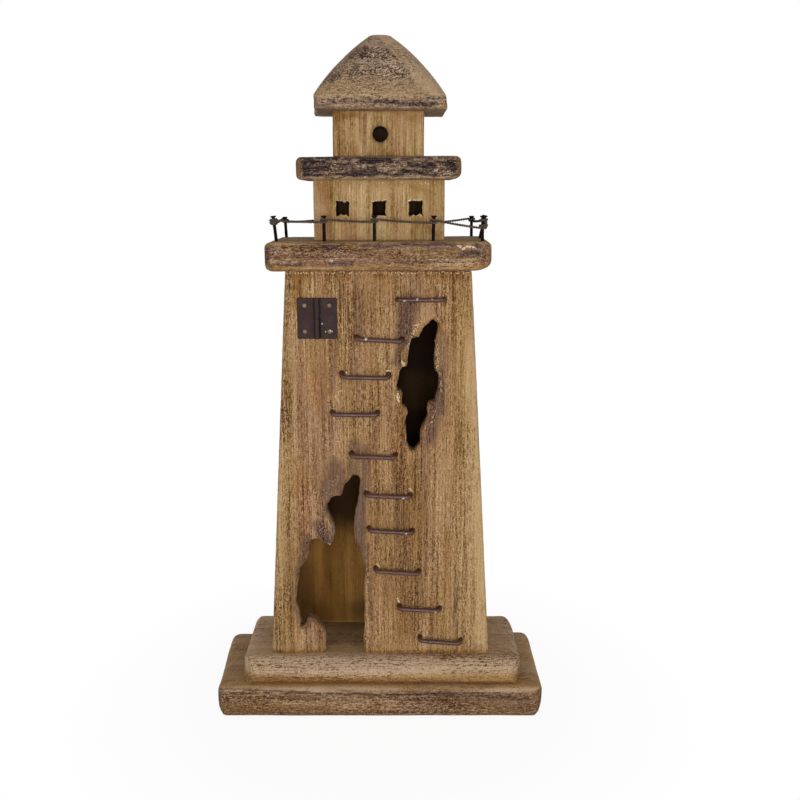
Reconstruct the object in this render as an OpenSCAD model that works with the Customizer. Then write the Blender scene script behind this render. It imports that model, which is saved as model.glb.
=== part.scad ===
// Wooden lighthouse ornament, in millimetres.
// Two base boards carry a hollow tapered tower of four boards. A gallery deck, a watch room, an eave
// deck, a lantern room and a hipped roof are stacked on it. Wire staples climb the front as rungs, a
// small hinge is nailed on as an ornament, and twine runs round nails as the gallery's rail.
// X runs to the viewer's right, Y away from the front, Z up. The origin is the centre of the underside.

/* [Lower base board] */
// Width of the lower base board
lower_w = 222.25; // [214:0.25:270]
// Depth of the lower base board
lower_d = 86.36; // [82:0.02:120]
// Thickness of the lower base board
lower_t = 23.6; // [18:0.1:34]
// Radius of its corners seen from above
lower_corner_r = 10; // [6:0.5:16]
// Radius along its upper and lower edges
lower_edge_r = 6.5; // [2:0.5:8]

/* [Upper base board] */
// Width of the upper base board
upper_w = 192; // [180:0.5:205]
// Depth of the upper base board
upper_d = 74; // [68:0.5:80]
// Thickness of the upper base board
upper_t = 17.2; // [12:0.1:26]
// Radius of its corners seen from above
upper_corner_r = 9; // [5:0.5:14]
// Radius along its upper and lower edges
upper_edge_r = 5.5; // [2:0.5:5.5]
// How far the board was fixed to the right of the middle
upper_shift = 1.3; // [0:0.1:3]

/* [Tower] */
// Width of the tower at its foot
tower_foot_w = 149.4; // [146:0.2:160]
// Width of the tower at its top
tower_top_w = 118; // [114:0.2:124]
// Height of the tower's boards
tower_h = 262.8; // [250:0.2:290]
// Depth of the tower from front face to back face
tower_d = 51.5; // [46:0.5:58]
// Thickness of the carved front board
front_t = 10; // [9.6:0.1:14]
// Thickness of the back board
back_t = 6.3; // [5:0.1:10]
// Thickness of the two side boards
side_t = 12; // [10:0.1:14]
// Rounding of the tower's upright corners
tower_edge_r = 2.4; // [1:0.1:4]

/* [Carved doorway] */
// Left side of the doorway, from the middle of the tower
door_left = 57.5; // [54:0.1:60]
// Right side of the doorway, left of the middle of the tower
door_right = 9.8; // [9.6:0.1:14]
// Height of the board that is left above the doorway
door_head = 135; // [122:0.2:150]
// Width of the bevel that was carved round both openings
bevel_w = 1.8; // [1:0.1:2]
// Depth of that bevel
bevel_depth = 1.8; // [1:0.1:3]

/* [Carved window] */
// Left side of the window, from the middle of the tower
window_left = 11.3; // [10:0.1:14]
// Right side of the window, from the middle of the tower
window_right = 38.4; // [34:0.1:42]
// Height of the window
window_h = 86.8; // [76:0.2:96]
// Top of the window below the top of the tower
window_drop = 31.1; // [28:0.1:36]

/* [Gallery deck] */
// Width of the gallery deck
gallery_w = 142.8; // [138:0.2:154]
// Depth of the gallery deck
gallery_d = 70; // [66:0.5:80]
// Thickness of the gallery deck
gallery_t = 19; // [15:0.1:24]
// Radius of its corners seen from above
gallery_corner_r = 6; // [4:0.5:9]
// Radius along its upper and lower edges
gallery_edge_r = 3.6; // [1:0.1:3.8]

/* [Watch room] */
// Width of the watch room
watch_w = 82.4; // [78:0.2:90]
// Depth of the watch room
watch_d = 46; // [42:0.5:48]
// Height of the watch room
watch_h = 36.8; // [32:0.2:44]
// Width of each square window
pane_w = 8; // [6:0.1:10]
// Height of each square window
pane_h = 8.7; // [6:0.1:10]
// Wood left between the windows and the dowels behind them
pane_wall = 4; // [3:0.5:12]
// Distance from one window to the next
pane_pitch = 22.85; // [20:0.05:25]
// Middle of the windows above the gallery deck
pane_z = 19.6; // [17:0.1:21]

/* [Eave deck] */
// Width of the eave deck
eave_w = 102.6; // [98:0.2:112]
// Depth of the eave deck
eave_d = 59; // [54:0.5:66]
// Thickness of the eave deck
eave_t = 14.5; // [12:0.1:20]
// Radius of its corners seen from above
eave_corner_r = 7; // [4.5:0.5:10]
// Radius along its upper and lower edges
eave_edge_r = 4; // [1:0.1:4.4]

/* [Lantern room] */
// Width of the lantern room
lantern_w = 56.4; // [52:0.2:62]
// Depth of the lantern room
lantern_d = 41; // [38:0.5:46]
// Height of the lantern room
lantern_h = 26.9; // [25:0.1:34]
// Diameter of the porthole
porthole_d = 9.5; // [7:0.1:11]
// Wood left between the porthole and the dowel behind it
porthole_wall = 3.5; // [3:0.5:10]
// Middle of the porthole above the eave deck
porthole_z = 13.3; // [12:0.1:15]
// Middle of the porthole to the right of the room's middle
porthole_x = 1.1; // [0:0.1:3]
// Rounding of the upright corners of both rooms
room_edge_r = 1.6; // [0.6:0.1:3]

/* [Roof] */
// Width of the roof at its rim
roof_w = 82; // [76:0.2:92]
// Depth of the roof at its rim
roof_d = 65; // [60:0.2:72]
// Height of the roof
roof_h = 48.78; // [44:0.02:60]
// Height of the upright rim
rim_h = 8.7; // [6:0.1:11]
// Radius of the rim's lower edge
rim_edge_r = 2.6; // [1:0.1:4]
// Swell of the convex faces beyond a straight slope
face_swell = 3.2; // [1:0.1:4]
// Width of the blunt crown
crown_w = 12; // [8:0.2:18]
// Depth of the blunt crown
crown_d = 9.6; // [7:0.2:14]
// Height of the crown's dome
crown_h = 1.9; // [1:0.1:3]
// Corner radius of the rim
rim_corner_r = 5; // [3:0.5:8]
// Radius of the rounded hips at half their height
hip_r = 13; // [7:0.5:15]
// How far the roof was fixed to the right of the middle
roof_shift = 1.2; // [0:0.1:3]

/* [Rungs] */
// Diameter of the rung wire
rung_wire = 2.9; // [2.2:0.1:3.4]
// Distance between the two legs of a middling rung
rung_span = 28.9; // [26:0.1:29.5]
// How far the middle of the wire stands off the board
rung_stand = 4.6; // [3.5:0.1:6]
// Bend radius at the middle of the wire
rung_bend_r = 2.8; // [1.8:0.1:3.4]
// Wood left in the board behind the legs and behind the hinge nails
blind_wall = 1.5; // [1:0.1:4]

/* [Hinge] */
// Width of the open hinge
hinge_w = 25.5; // [23:0.1:28]
// Height of the hinge
hinge_h = 26.4; // [24:0.1:30]
// Thickness of the leaves
leaf_t = 1; // [0.7:0.05:1.3]
// Outer diameter of the knuckles
knuckle_d = 3.2; // [2.8:0.1:3.8]
// Diameter of the hinge pin
hinge_pin_d = 1.5; // [1.2:0.1:1.8]
// Distance from the tower's upper left corner to the hinge pin
hinge_in = 19.8; // [18:0.1:22]
// Middle of the hinge below the top of the tower
hinge_drop = 30.2; // [28:0.2:34]
// Shank diameter of the hinge nails
hinge_nail_d = 1.5; // [1.2:0.1:1.8]
// Head diameter of the hinge nails
hinge_nail_head_d = 3; // [2.6:0.1:3.6]

/* [Rail] */
// Shank diameter of the rail posts
post_d = 2.1; // [1.8:0.05:2.6]
// Height of the rail posts above the deck
post_h = 14.3; // [12:0.1:18]
// How deep the posts are driven into the deck
post_in = 9; // [6:0.1:11]
// Diameter of the posts' flat heads
post_head_d = 3.7; // [3:0.1:4.6]
// Thickness of the posts' flat heads
post_head_t = 0.8; // [0.5:0.05:1.2]
// Diameter of the rail twine
twine_d = 1.25; // [1:0.05:1.4]
// Gap between the two ends of one turn of twine round a post
twine_gap = 0.5; // [0.45:0.05:0.8]

/* [Hidden fasteners] */
// Shank diameter of the base screws
screw_d = 3.8; // [3:0.1:4.5]
// How far the base screws reach into the tower's side boards
screw_bite = 19.5; // [14:0.5:26]
// Head diameter of the base screws
screw_head_d = 7.6; // [6.6:0.1:9]
// Diameter of the dowels
dowel_d = 6; // [5:0.1:7]
// Length of the dowels
dowel_l = 18; // [14:0.5:20]
// How far a dowel reaches into a deck or the roof
dowel_in = 5.5; // [4:0.1:6]
// Shank diameter of the back board's brads
brad_d = 1.3; // [1:0.05:1.6]
// Length of the back board's brads
brad_l = 20; // [16:0.5:24]
// Head diameter of the brads
brad_head_d = 2; // [1.8:0.05:2.6]

/* [Hidden] */
RUNGS = 10;
POSTS = 11;
function numbered(stem, i) = str(stem, i < 9 ? "0" : "", i + 1);
$fn = 48;

// Overrun of every cut
over = 1;
// Clearance round nails, wire legs, screws and dowels in their holes
wood_fit = 0.05;
// Clearance round the hinge pin, and between the edges of the two leaves
pin_fit = 0.05;
leaf_fit = 0.25;
// Room left past the end of a fastener in a blind hole
end_room = 0.5;
// Clearance between the twine and a post
twine_fit = 0.15;
// Corner radius of the hinge leaves, and thickness of the hinge nails' heads
leaf_corner_r = 0.8;
hinge_nail_head_t = 0.6;

// Levels of the stacked pieces
floor_z = lower_t + upper_t;
gallery_z = floor_z + tower_h;
watch_z = gallery_z + gallery_t;
eave_z = watch_z + watch_h;
lantern_z = eave_z + eave_t;
roof_z = lantern_z + lantern_h;

// Depths and lengths that end inside the wood
pane_depth = watch_d / 2 - dowel_d / 2 - pane_wall;
porthole_depth = lantern_d / 2 - dowel_d / 2 - porthole_wall;
driven_l = front_t - blind_wall - end_room;

// Planes of the tower's boards, and how far a side leans inwards for each unit of height
front_y = -tower_d / 2;
back_y = tower_d / 2;
side_d = tower_d - front_t - back_t;
side_y = front_y + front_t + side_d / 2;
side_lean = (tower_foot_w - tower_top_w) / 2 / tower_h;

// Doorway outline, anticlockwise from the foot of its right side, as shares of its width and height
door_shares = [
    [0.960, -0.030], [0.972, 0.120], [0.977, 0.240], [0.971, 0.378], [1.000, 0.465], [0.964, 0.523],
    [0.939, 0.594], [0.860, 0.630], [0.838, 0.690], [0.853, 0.779], [0.891, 0.835], [0.918, 0.898],
    [0.929, 0.953], [0.927, 0.994], [0.860, 1.000], [0.788, 0.977], [0.723, 0.946], [0.688, 0.887],
    [0.625, 0.887], [0.535, 0.876], [0.472, 0.842], [0.478, 0.807], [0.514, 0.772], [0.566, 0.729],
    [0.581, 0.687], [0.543, 0.637], [0.516, 0.605], [0.470, 0.616], [0.382, 0.640], [0.310, 0.647],
    [0.245, 0.637], [0.218, 0.608], [0.216, 0.558], [0.140, 0.515], [0.057, 0.464], [0.048, 0.414],
    [0.021, 0.340], [0.000, 0.282], [0.042, 0.231], [0.067, 0.178], [0.050, 0.134], [0.100, 0.142],
    [0.160, 0.186], [0.197, 0.201], [0.287, 0.186], [0.377, 0.142], [0.432, 0.105], [0.430, 0.052],
    [0.417, -0.030]];

// Window outline, anticlockwise from its top, as shares of its width and height
window_shares = [
    [0.856, 1.000], [0.782, 0.984], [0.679, 0.953], [0.579, 0.904], [0.528, 0.864], [0.399, 0.864],
    [0.336, 0.832], [0.299, 0.774], [0.273, 0.710], [0.258, 0.644], [0.155, 0.644], [0.077, 0.619],
    [0.052, 0.561], [0.000, 0.503], [0.015, 0.470], [0.118, 0.462], [0.144, 0.438], [0.133, 0.396],
    [0.133, 0.346], [0.251, 0.329], [0.262, 0.296], [0.225, 0.253], [0.210, 0.220], [0.240, 0.152],
    [0.240, 0.059], [0.358, 0.000], [0.439, 0.000], [0.565, 0.051], [0.568, 0.111], [0.590, 0.177],
    [0.672, 0.220], [0.749, 0.263], [0.734, 0.296], [0.731, 0.346], [0.771, 0.371], [0.915, 0.379],
    [0.952, 0.430], [0.989, 0.479], [1.000, 0.545], [0.985, 0.594], [0.893, 0.628], [0.904, 0.735],
    [0.915, 0.832], [0.948, 0.896], [0.978, 0.945], [0.959, 0.977]];

// Rungs from the top down: middle as a share of the tower's width there, height as a share of the board
// above the doorway for the first five and of the doorway for the rest, then the rise from left leg
// to right leg and the span, as shares of a middling rung's span, and how far the rung hangs for each
// unit that it stands off
UPPER_RUNGS = 5;
rung_shares = [
    [0.224, 0.866, 0.000, 1.035, 0.00], [0.003, 0.682, -0.056, 1.017, 0.20],
    [-0.070, 0.508, -0.025, 1.045, 0.40], [-0.121, 0.320, -0.010, 1.017, 0.20],
    [-0.029, 0.111, -0.034, 1.003, 0.25], [0.043, 0.901, -0.043, 1.007, 0.10],
    [0.055, 0.707, -0.060, 1.003, 0.10], [0.082, 0.481, -0.070, 0.997, 0.12],
    [0.184, 0.268, -0.055, 0.958, 0.10], [0.279, 0.085, -0.077, 0.969, 0.20]];

// Rail posts anticlockwise from the front left corner: foot as shares of the deck's half width and
// half depth, lean to the right for each unit of height, middle of the twine's turn as a share of
// the post's height
post_shares = [
    [-0.891, -0.800, -0.112, 0.740], [-0.472, -0.800, 0.000, 0.770], [-0.032, -0.800, 0.000, 0.750],
    [0.483, -0.800, 0.020, 0.760], [0.913, -0.800, 0.000, 0.620], [0.923, 0.000, 0.230, 0.700],
    [0.874, 0.800, 0.000, 0.740], [0.483, 0.800, 0.000, 0.750], [-0.032, 0.800, 0.000, 0.760],
    [-0.472, 0.800, 0.000, 0.750], [-0.895, 0.800, -0.040, 0.760]];

// Sag of the twine between two posts as a share of their distance, and where it is shaped
sag_share = 0.012;
sag_place_shares = [0.25, 0.5, 0.75];
// Largest step of the twine's turn round a post, in degrees, and the sides of its tube
turn_step = 36;
twine_sides = 8;

// Places of the hidden fasteners as shares of the pieces that carry them
side_place_share = 0.24;
room_place_share = 0.56;
brad_height_shares = [0.14, 0.38, 0.62, 0.88];
hinge_nail_shares = [0.62, 0.316];

// Steps of the roof's rings: round the rim's edge, up the faces, over the crown, round a hip
rim_steps = 3;
face_steps = 10;
crown_steps = 3;
hip_steps = 6;
// Largest hip radius as a share of a section's half depth, and how far the crown turns over in degrees
hip_limit_share = 0.62;
crown_turn = 80;

wood = "burlywood";
brown_wood = "peru";
dark_wood = "saddlebrown";
iron = "dimgray";
cord = "darkslategray";

// Rectangle with round corners, centred
module round_rect(w, d, r) {
    square([w - 2 * r, d], center = true);
    square([w, d - 2 * r], center = true);
    for (sx = [-1, 1], sy = [-1, 1])
        translate([sx * (w / 2 - r), sy * (d / 2 - r)]) circle(r);
}

// Board with round corners in plan and rounded upper and lower edges
module soft_board(w, d, t, corner_r, edge_r) {
    intersection() {
        linear_extrude(t) round_rect(w, d, corner_r);
        translate([0, 0, t / 2]) rotate([90, 0, 90])
            linear_extrude(w, center = true) round_rect(d, t, edge_r);
        translate([0, 0, t / 2]) rotate([90, 0, 0])
            linear_extrude(d, center = true) round_rect(w, t, edge_r);
    }
}

// Faces that join matching rings of n points; closed also joins the last ring to the first
function band_faces(n, rings, closed) =
    [for (k = [0 : rings - (closed ? 1 : 2)], j = [0 : n - 1])
        let (next = (k + 1) % rings, right = (j + 1) % n)
        [k * n + j, k * n + right, next * n + right, next * n + j]];

// Solid through rings of points with flat ends, each ring anticlockwise as seen from before the first
module loft(rings) {
    n = len(rings[0]);
    polyhedron(
        points = [for (ring = rings) each ring],
        faces = concat(
            [[for (j = [n - 1 : -1 : 0]) j]],
            band_faces(n, len(rings), false),
            [[for (j = [0 : n - 1]) (len(rings) - 1) * n + j]]),
        convexity = 10);
}

// Tube through rings of points whose last ring joins the first
module loop(rings) polyhedron(
    points = [for (ring = rings) each ring],
    faces = band_faces(len(rings[0]), len(rings), true),
    convexity = 10);

// Dowel standing on its lower end, and the room that is drilled for it
module dowel() {
    chamfer = dowel_d / 8;
    rotate_extrude() polygon([
        [0, 0], [dowel_d / 2 - chamfer, 0], [dowel_d / 2, chamfer],
        [dowel_d / 2, dowel_l - chamfer], [dowel_d / 2 - chamfer, dowel_l], [0, dowel_l]]);
}
module dowel_room()
    translate([0, 0, -end_room]) cylinder(d = dowel_d + 2 * wood_fit, h = dowel_l + 2 * end_room);

// Places of the dowels' lower ends in each joint, from the tower up
dowel_rest = dowel_l - dowel_in;
module tower_joint() {
    for (sx = [-1, 1], sy = [-1, 1])
        translate([sx * (tower_top_w / 2 - side_t / 2 + side_lean * dowel_rest / 2),
                   side_y + sy * side_d * side_place_share, gallery_z - dowel_rest])
            children();
}
module room_joint(w, z) {
    for (side = [-1, 1]) translate([side * w / 2 * room_place_share, 0, z]) children();
}
module watch_joint() room_joint(watch_w, watch_z - dowel_in) children();
module eave_joint() room_joint(watch_w, eave_z - dowel_rest) children();
module lantern_joint() room_joint(lantern_w, lantern_z - dowel_in) children();
module roof_joint() translate([roof_shift, 0, roof_z - dowel_rest]) children();

module gallery_dowels() color(wood) tower_joint() dowel();
module watch_room_dowels() color(wood) watch_joint() dowel();
module eave_dowels() color(wood) eave_joint() dowel();
module lantern_dowels() color(wood) lantern_joint() dowel();
module roof_dowel() color(wood) roof_joint() dowel();

// Base screws, sunk by end_room into the underside: countersunk head, shank and point
screw_head_h = (screw_head_d - screw_d) / 2;
screw_l = floor_z + screw_bite - end_room;
module screw_places() {
    for (sx = [-1, 1], sy = [-1, 1])
        translate([sx * (tower_foot_w / 2 - side_t / 2 - side_lean * screw_bite / 2),
                   side_y + sy * side_d * side_place_share, end_room])
            children();
}
module screw_body(grow) rotate_extrude() polygon([
    [0, 0], [screw_head_d / 2 + grow, 0], [screw_d / 2 + grow, screw_head_h],
    [screw_d / 2 + grow, screw_l - screw_d + grow], [0, screw_l + grow]]);
module base_screws() color(iron) screw_places() difference() {
    screw_body(0);
    // Cross recess
    slot = screw_d / 4;
    for (turn = [0, 90]) rotate([0, 0, turn])
        translate([-screw_d / 2, -slot / 2, -over]) cube([screw_d, slot, over + screw_head_h / 2]);
}
module screw_rooms() screw_places() {
    screw_body(wood_fit);
    translate([0, 0, -end_room - over]) cylinder(d = screw_head_d + 2 * wood_fit, h = end_room + over);
}

module base_board_lower() color(brown_wood) difference() {
    soft_board(lower_w, lower_d, lower_t, lower_corner_r, lower_edge_r);
    screw_rooms();
}

module base_board_upper() color(brown_wood) difference() {
    translate([upper_shift, 0, lower_t])
        soft_board(upper_w, upper_d, upper_t, upper_corner_r, upper_edge_r);
    screw_rooms();
}

// Stands an outline drawn in X and Z on the floor, t thick, with its front face at y
module stand(y, t) translate([0, y + t, floor_z]) rotate([90, 0, 0]) linear_extrude(t) children();

// Tapered outline of the tower's front and back boards
module tower_outline() polygon([
    [-tower_foot_w / 2, 0], [tower_foot_w / 2, 0],
    [tower_top_w / 2, tower_h], [-tower_top_w / 2, tower_h]]);

// Cutters that round the front board's two leaning corners
module corner_cutter() {
    length = norm([tower_h, side_lean * tower_h]) + 2 * over;
    translate([tower_foot_w / 2, front_y, floor_z]) rotate([0, -atan(side_lean), 0])
        translate([-tower_edge_r, 0, -over]) difference() {
            translate([0, -over, 0]) cube([tower_edge_r + over, tower_edge_r + over, length]);
            translate([0, tower_edge_r, -over]) cylinder(r = tower_edge_r, h = length + 2 * over);
        }
}
module corner_cutters() {
    corner_cutter();
    mirror([1, 0, 0]) corner_cutter();
}

// Outline of an opening in real sizes, the same outline moved outwards, and either one set at y
function sized(shares, w, h, left, foot) = [for (s = shares) [left + s[0] * w, foot + s[1] * h]];
function moved_out(points, distance) =
    let (n = len(points))
    [for (i = [0 : n - 1])
        let (along = points[(i + 1) % n] - points[(i + n - 1) % n])
        points[i] + [along[1], -along[0]] / norm(along) * distance];
function at_y(points, y) = [for (p = points) [p[0], y, p[1]]];

door_h = tower_h - door_head;
door_outline = sized(door_shares, door_left - door_right, door_h, -door_left, floor_z);
window_outline = sized(window_shares, window_right - window_left, window_h, window_left,
                       gallery_z - window_drop - window_h);

// Cut through the front board, with a bevel round its front edge
module carved_cut(outline) {
    wide = moved_out(outline, bevel_w * (bevel_depth + over) / bevel_depth);
    loft([at_y(wide, front_y - over), at_y(outline, front_y + bevel_depth),
          at_y(outline, front_y + front_t + over)]);
}

module tower_front() color(wood) difference() {
    stand(front_y, front_t) tower_outline();
    corner_cutters();
    carved_cut(door_outline);
    carved_cut(window_outline);
    for (i = [0 : RUNGS - 1]) rung_place(i) leg_rooms(rung_spans[i]);
    hinge_nail_places() translate([0, -over, 0]) rotate([-90, 0, 0])
        cylinder(d = hinge_nail_d + 2 * wood_fit, h = over + driven_l + end_room);
}

module tower_back() color(wood) difference() {
    stand(back_y - back_t, back_t) tower_outline();
    mirror([0, 1, 0]) corner_cutters();
    brad_places() brad_room();
}

// Leaning side board on the right
module side_board() difference() {
    stand(front_y + front_t, side_d) polygon([
        [tower_foot_w / 2 - side_t, 0], [tower_foot_w / 2, 0],
        [tower_top_w / 2, tower_h], [tower_top_w / 2 - side_t, tower_h]]);
    screw_rooms();
    brad_places() brad_room();
    tower_joint() dowel_room();
}
module tower_side_right() color(wood) side_board();
module tower_side_left() color(wood) mirror([1, 0, 0]) side_board();

// Brads driven through the back board into the side boards, with their small heads flush
brad_head_h = brad_head_d / 2;
module brad_places() {
    for (share = brad_height_shares, side = [-1, 1])
        translate([side * (tower_foot_w / 2 - side_lean * share * tower_h - side_t / 2), back_y,
                   floor_z + share * tower_h])
            rotate([90, 0, 0]) children();
}
module brad_body(grow) rotate_extrude() polygon([
    [0, 0], [brad_head_d / 2 + grow, 0], [brad_head_d / 2 + grow, brad_head_h + grow],
    [brad_d / 2 + grow, brad_head_h + grow], [brad_d / 2 + grow, brad_l - brad_d + grow],
    [0, brad_l + grow]]);
module brad_room() {
    brad_body(wood_fit);
    translate([0, 0, -over]) cylinder(d = brad_head_d + 2 * wood_fit, h = over + brad_head_h / 2);
}
module back_brads() color(iron) brad_places() brad_body(0);

module gallery_deck() color(brown_wood) difference() {
    translate([0, 0, gallery_z])
        soft_board(gallery_w, gallery_d, gallery_t, gallery_corner_r, gallery_edge_r);
    tower_joint() dowel_room();
    watch_joint() dowel_room();
    for (i = [0 : POSTS - 1]) post_place(i) translate([0, 0, -post_in - end_room])
        cylinder(d = post_d + 2 * wood_fit, h = post_in + end_room + over);
}

// Block of a room with rounded upright corners
module room(w, d, h) linear_extrude(h) round_rect(w, d, room_edge_r);

module watch_room() color(wood) difference() {
    translate([0, 0, watch_z]) room(watch_w, watch_d, watch_h);
    for (k = [-1 : 1])
        translate([k * pane_pitch - pane_w / 2, -watch_d / 2 - over, watch_z + pane_z - pane_h / 2])
            cube([pane_w, over + pane_depth, pane_h]);
    watch_joint() dowel_room();
    eave_joint() dowel_room();
}

module eave_deck() color(dark_wood) difference() {
    translate([0, 0, eave_z]) soft_board(eave_w, eave_d, eave_t, eave_corner_r, eave_edge_r);
    eave_joint() dowel_room();
    lantern_joint() dowel_room();
}

module lantern_room() color(wood) difference() {
    translate([0, 0, lantern_z]) room(lantern_w, lantern_d, lantern_h);
    translate([porthole_x, -lantern_d / 2 - over, lantern_z + porthole_z]) rotate([-90, 0, 0])
        cylinder(d = porthole_d, h = over + porthole_depth);
    lantern_joint() dowel_room();
    roof_joint() dowel_room();
}

// Ring of a roof section: half width, half depth, hip radius, height, clockwise as seen from above
function roof_ring(half_w, half_d, hip, z) =
    let (r = min(hip, hip_limit_share * half_d))
    [for (q = [0 : 3], k = [0 : hip_steps])
        let (a = -90 * (q + k / hip_steps),
             sx = (q == 0 || q == 3) ? 1 : -1,
             sy = q < 2 ? -1 : 1)
        [sx * (half_w - r) + r * cos(a), sy * (half_d - r) + r * sin(a), z]];

// Sections from the underside up: the rim's rounded lower edge, the convex faces, the crown
face_h = roof_h - crown_h - rim_h;
face_slope = atan2(face_h, (roof_w - crown_w) / 2);
rim_rings = [for (k = [0 : rim_steps])
    let (a = 90 * k / rim_steps, inset = rim_edge_r * (1 - sin(a)))
    roof_ring(roof_w / 2 - inset, roof_d / 2 - inset, rim_corner_r, rim_edge_r * (1 - cos(a)))];
face_rings = [for (k = [0 : face_steps])
    let (s = k / face_steps, bow = 4 * s * (1 - s), out = face_swell * bow * sin(face_slope))
    roof_ring(roof_w / 2 * (1 - s) + crown_w / 2 * s + out,
              roof_d / 2 * (1 - s) + crown_d / 2 * s + out,
              rim_corner_r * (1 - bow) + hip_r * bow,
              rim_h + face_h * s + face_swell * bow * cos(face_slope))];
// The last ring is small and flat, a blunt top
crown_rings = [for (k = [1 : crown_steps])
    let (s = k / crown_steps, in = cos(crown_turn * s))
    roof_ring(crown_w / 2 * in, crown_d / 2 * in, rim_corner_r, roof_h - crown_h + crown_h * sin(90 * s))];

module roof() color(brown_wood) difference() {
    translate([roof_shift, 0, roof_z]) loft(concat(rim_rings, face_rings, crown_rings));
    roof_joint() dowel_room();
}

// Rungs: a frame at each rung's middle on the board's face, X along the rung and -Y outwards, tilted so
// that the rung hangs
rung_spans = [for (s = rung_shares) s[3] * rung_span];
module rung_place(i) {
    s = rung_shares[i];
    level = i < UPPER_RUNGS ? door_h + s[1] * door_head : s[1] * door_h;
    translate([s[0] * (tower_foot_w - 2 * side_lean * level), front_y, floor_z + level])
        rotate([0, -asin(s[2] / s[3]), 0]) rotate([atan(s[4]), 0, 0]) children();
}
module leg_rooms(span) {
    for (side = [-1, 1]) translate([side * span / 2, -over, 0]) rotate([-90, 0, 0])
        cylinder(d = rung_wire + 2 * wood_fit, h = over + driven_l + end_room);
}

// Wire staple: crown, two bends and two legs
module half_staple(span) {
    bend_y = -(rung_stand - rung_bend_r);
    translate([span / 2, bend_y, 0]) rotate([-90, 0, 0]) cylinder(d = rung_wire, h = driven_l - bend_y);
    translate([span / 2 - rung_bend_r, bend_y, 0]) rotate([0, 0, -90])
        rotate_extrude(angle = 90) translate([rung_bend_r, 0]) circle(d = rung_wire);
    translate([0, -rung_stand, 0]) rotate([0, 90, 0]) cylinder(d = rung_wire, h = span / 2 - rung_bend_r);
}
module rung(i) color(iron) rung_place(i) {
    half_staple(rung_spans[i]);
    mirror([1, 0, 0]) half_staple(rung_spans[i]);
}

// Hinge: a frame at the pin's foot on the board's face, at the middle of its height
module hinge_place() translate([hinge_in - tower_top_w / 2, front_y, gallery_z - hinge_drop]) children();
module hinge_nail_places() hinge_place() {
    for (sx = [-1, 1], sz = [-1, 1])
        translate([sx * hinge_nail_shares[0] * hinge_w / 2, 0, sz * hinge_nail_shares[1] * hinge_h])
            children();
}

// Leaf on the right of the pin, with its knuckle above or below the middle
module hinge_leaf(knuckle_up) {
    plate_w = hinge_w / 2 - leaf_fit / 2;
    knuckle_h = hinge_h / 2 - leaf_fit / 2;
    own_z = knuckle_up ? leaf_fit / 2 : -hinge_h / 2;
    other_z = knuckle_up ? -hinge_h / 2 - over : -leaf_fit / 2;
    difference() {
        union() {
            rotate([90, 0, 0]) linear_extrude(leaf_t) {
                translate([leaf_fit / 2 + plate_w / 2, 0]) round_rect(plate_w, hinge_h, leaf_corner_r);
                translate([leaf_fit / 2, -hinge_h / 2]) square([plate_w / 2, hinge_h]);
            }
            translate([0, -knuckle_d / 2, own_z]) cylinder(d = knuckle_d, h = knuckle_h);
        }
        translate([0, -knuckle_d / 2, other_z])
            cylinder(d = knuckle_d + 2 * leaf_fit, h = hinge_h / 2 + leaf_fit / 2 + over);
        translate([0, -knuckle_d / 2, -hinge_h / 2 - over])
            cylinder(d = hinge_pin_d + 2 * pin_fit, h = hinge_h + 2 * over);
        for (sz = [-1, 1])
            translate([hinge_nail_shares[0] * hinge_w / 2, over, sz * hinge_nail_shares[1] * hinge_h])
                rotate([90, 0, 0]) cylinder(d = hinge_nail_d + 2 * wood_fit, h = leaf_t + 2 * over);
    }
}
module hinge_leaf_right() color(iron) hinge_place() hinge_leaf(true);
module hinge_leaf_left() color(iron) hinge_place() mirror([1, 0, 0]) hinge_leaf(false);
module hinge_pin() color(iron) hinge_place()
    translate([0, -knuckle_d / 2, -hinge_h / 2]) cylinder(d = hinge_pin_d, h = hinge_h);

// Nail along +Y with a low head on the leaf
module hinge_nails() color(iron) hinge_nail_places() rotate([-90, 0, 0]) rotate_extrude() polygon([
    [0, -leaf_t - hinge_nail_head_t], [hinge_nail_head_d / 4, -leaf_t - hinge_nail_head_t],
    [hinge_nail_head_d / 2, -leaf_t - hinge_nail_head_t / 3], [hinge_nail_head_d / 2, -leaf_t],
    [hinge_nail_d / 2, -leaf_t], [hinge_nail_d / 2, driven_l - hinge_nail_d], [0, driven_l]]);

// Rail posts: a frame at each post's foot on the deck, +Z up along the post
function post_foot(i) =
    [post_shares[i][0] * gallery_w / 2, post_shares[i][1] * gallery_d / 2, watch_z];
module post_place(i) translate(post_foot(i)) rotate([0, atan(post_shares[i][2]), 0]) children();
module rail_post(i) color(iron) post_place(i) rotate_extrude() polygon([
    [0, -post_in], [post_d / 2, -post_in + post_d], [post_d / 2, post_h - post_head_t],
    [post_head_d / 2, post_h - post_head_t], [post_head_d / 2, post_h - post_head_t / 4],
    [post_head_d / 2 - post_head_t / 2, post_h], [0, post_h]]);

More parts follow.
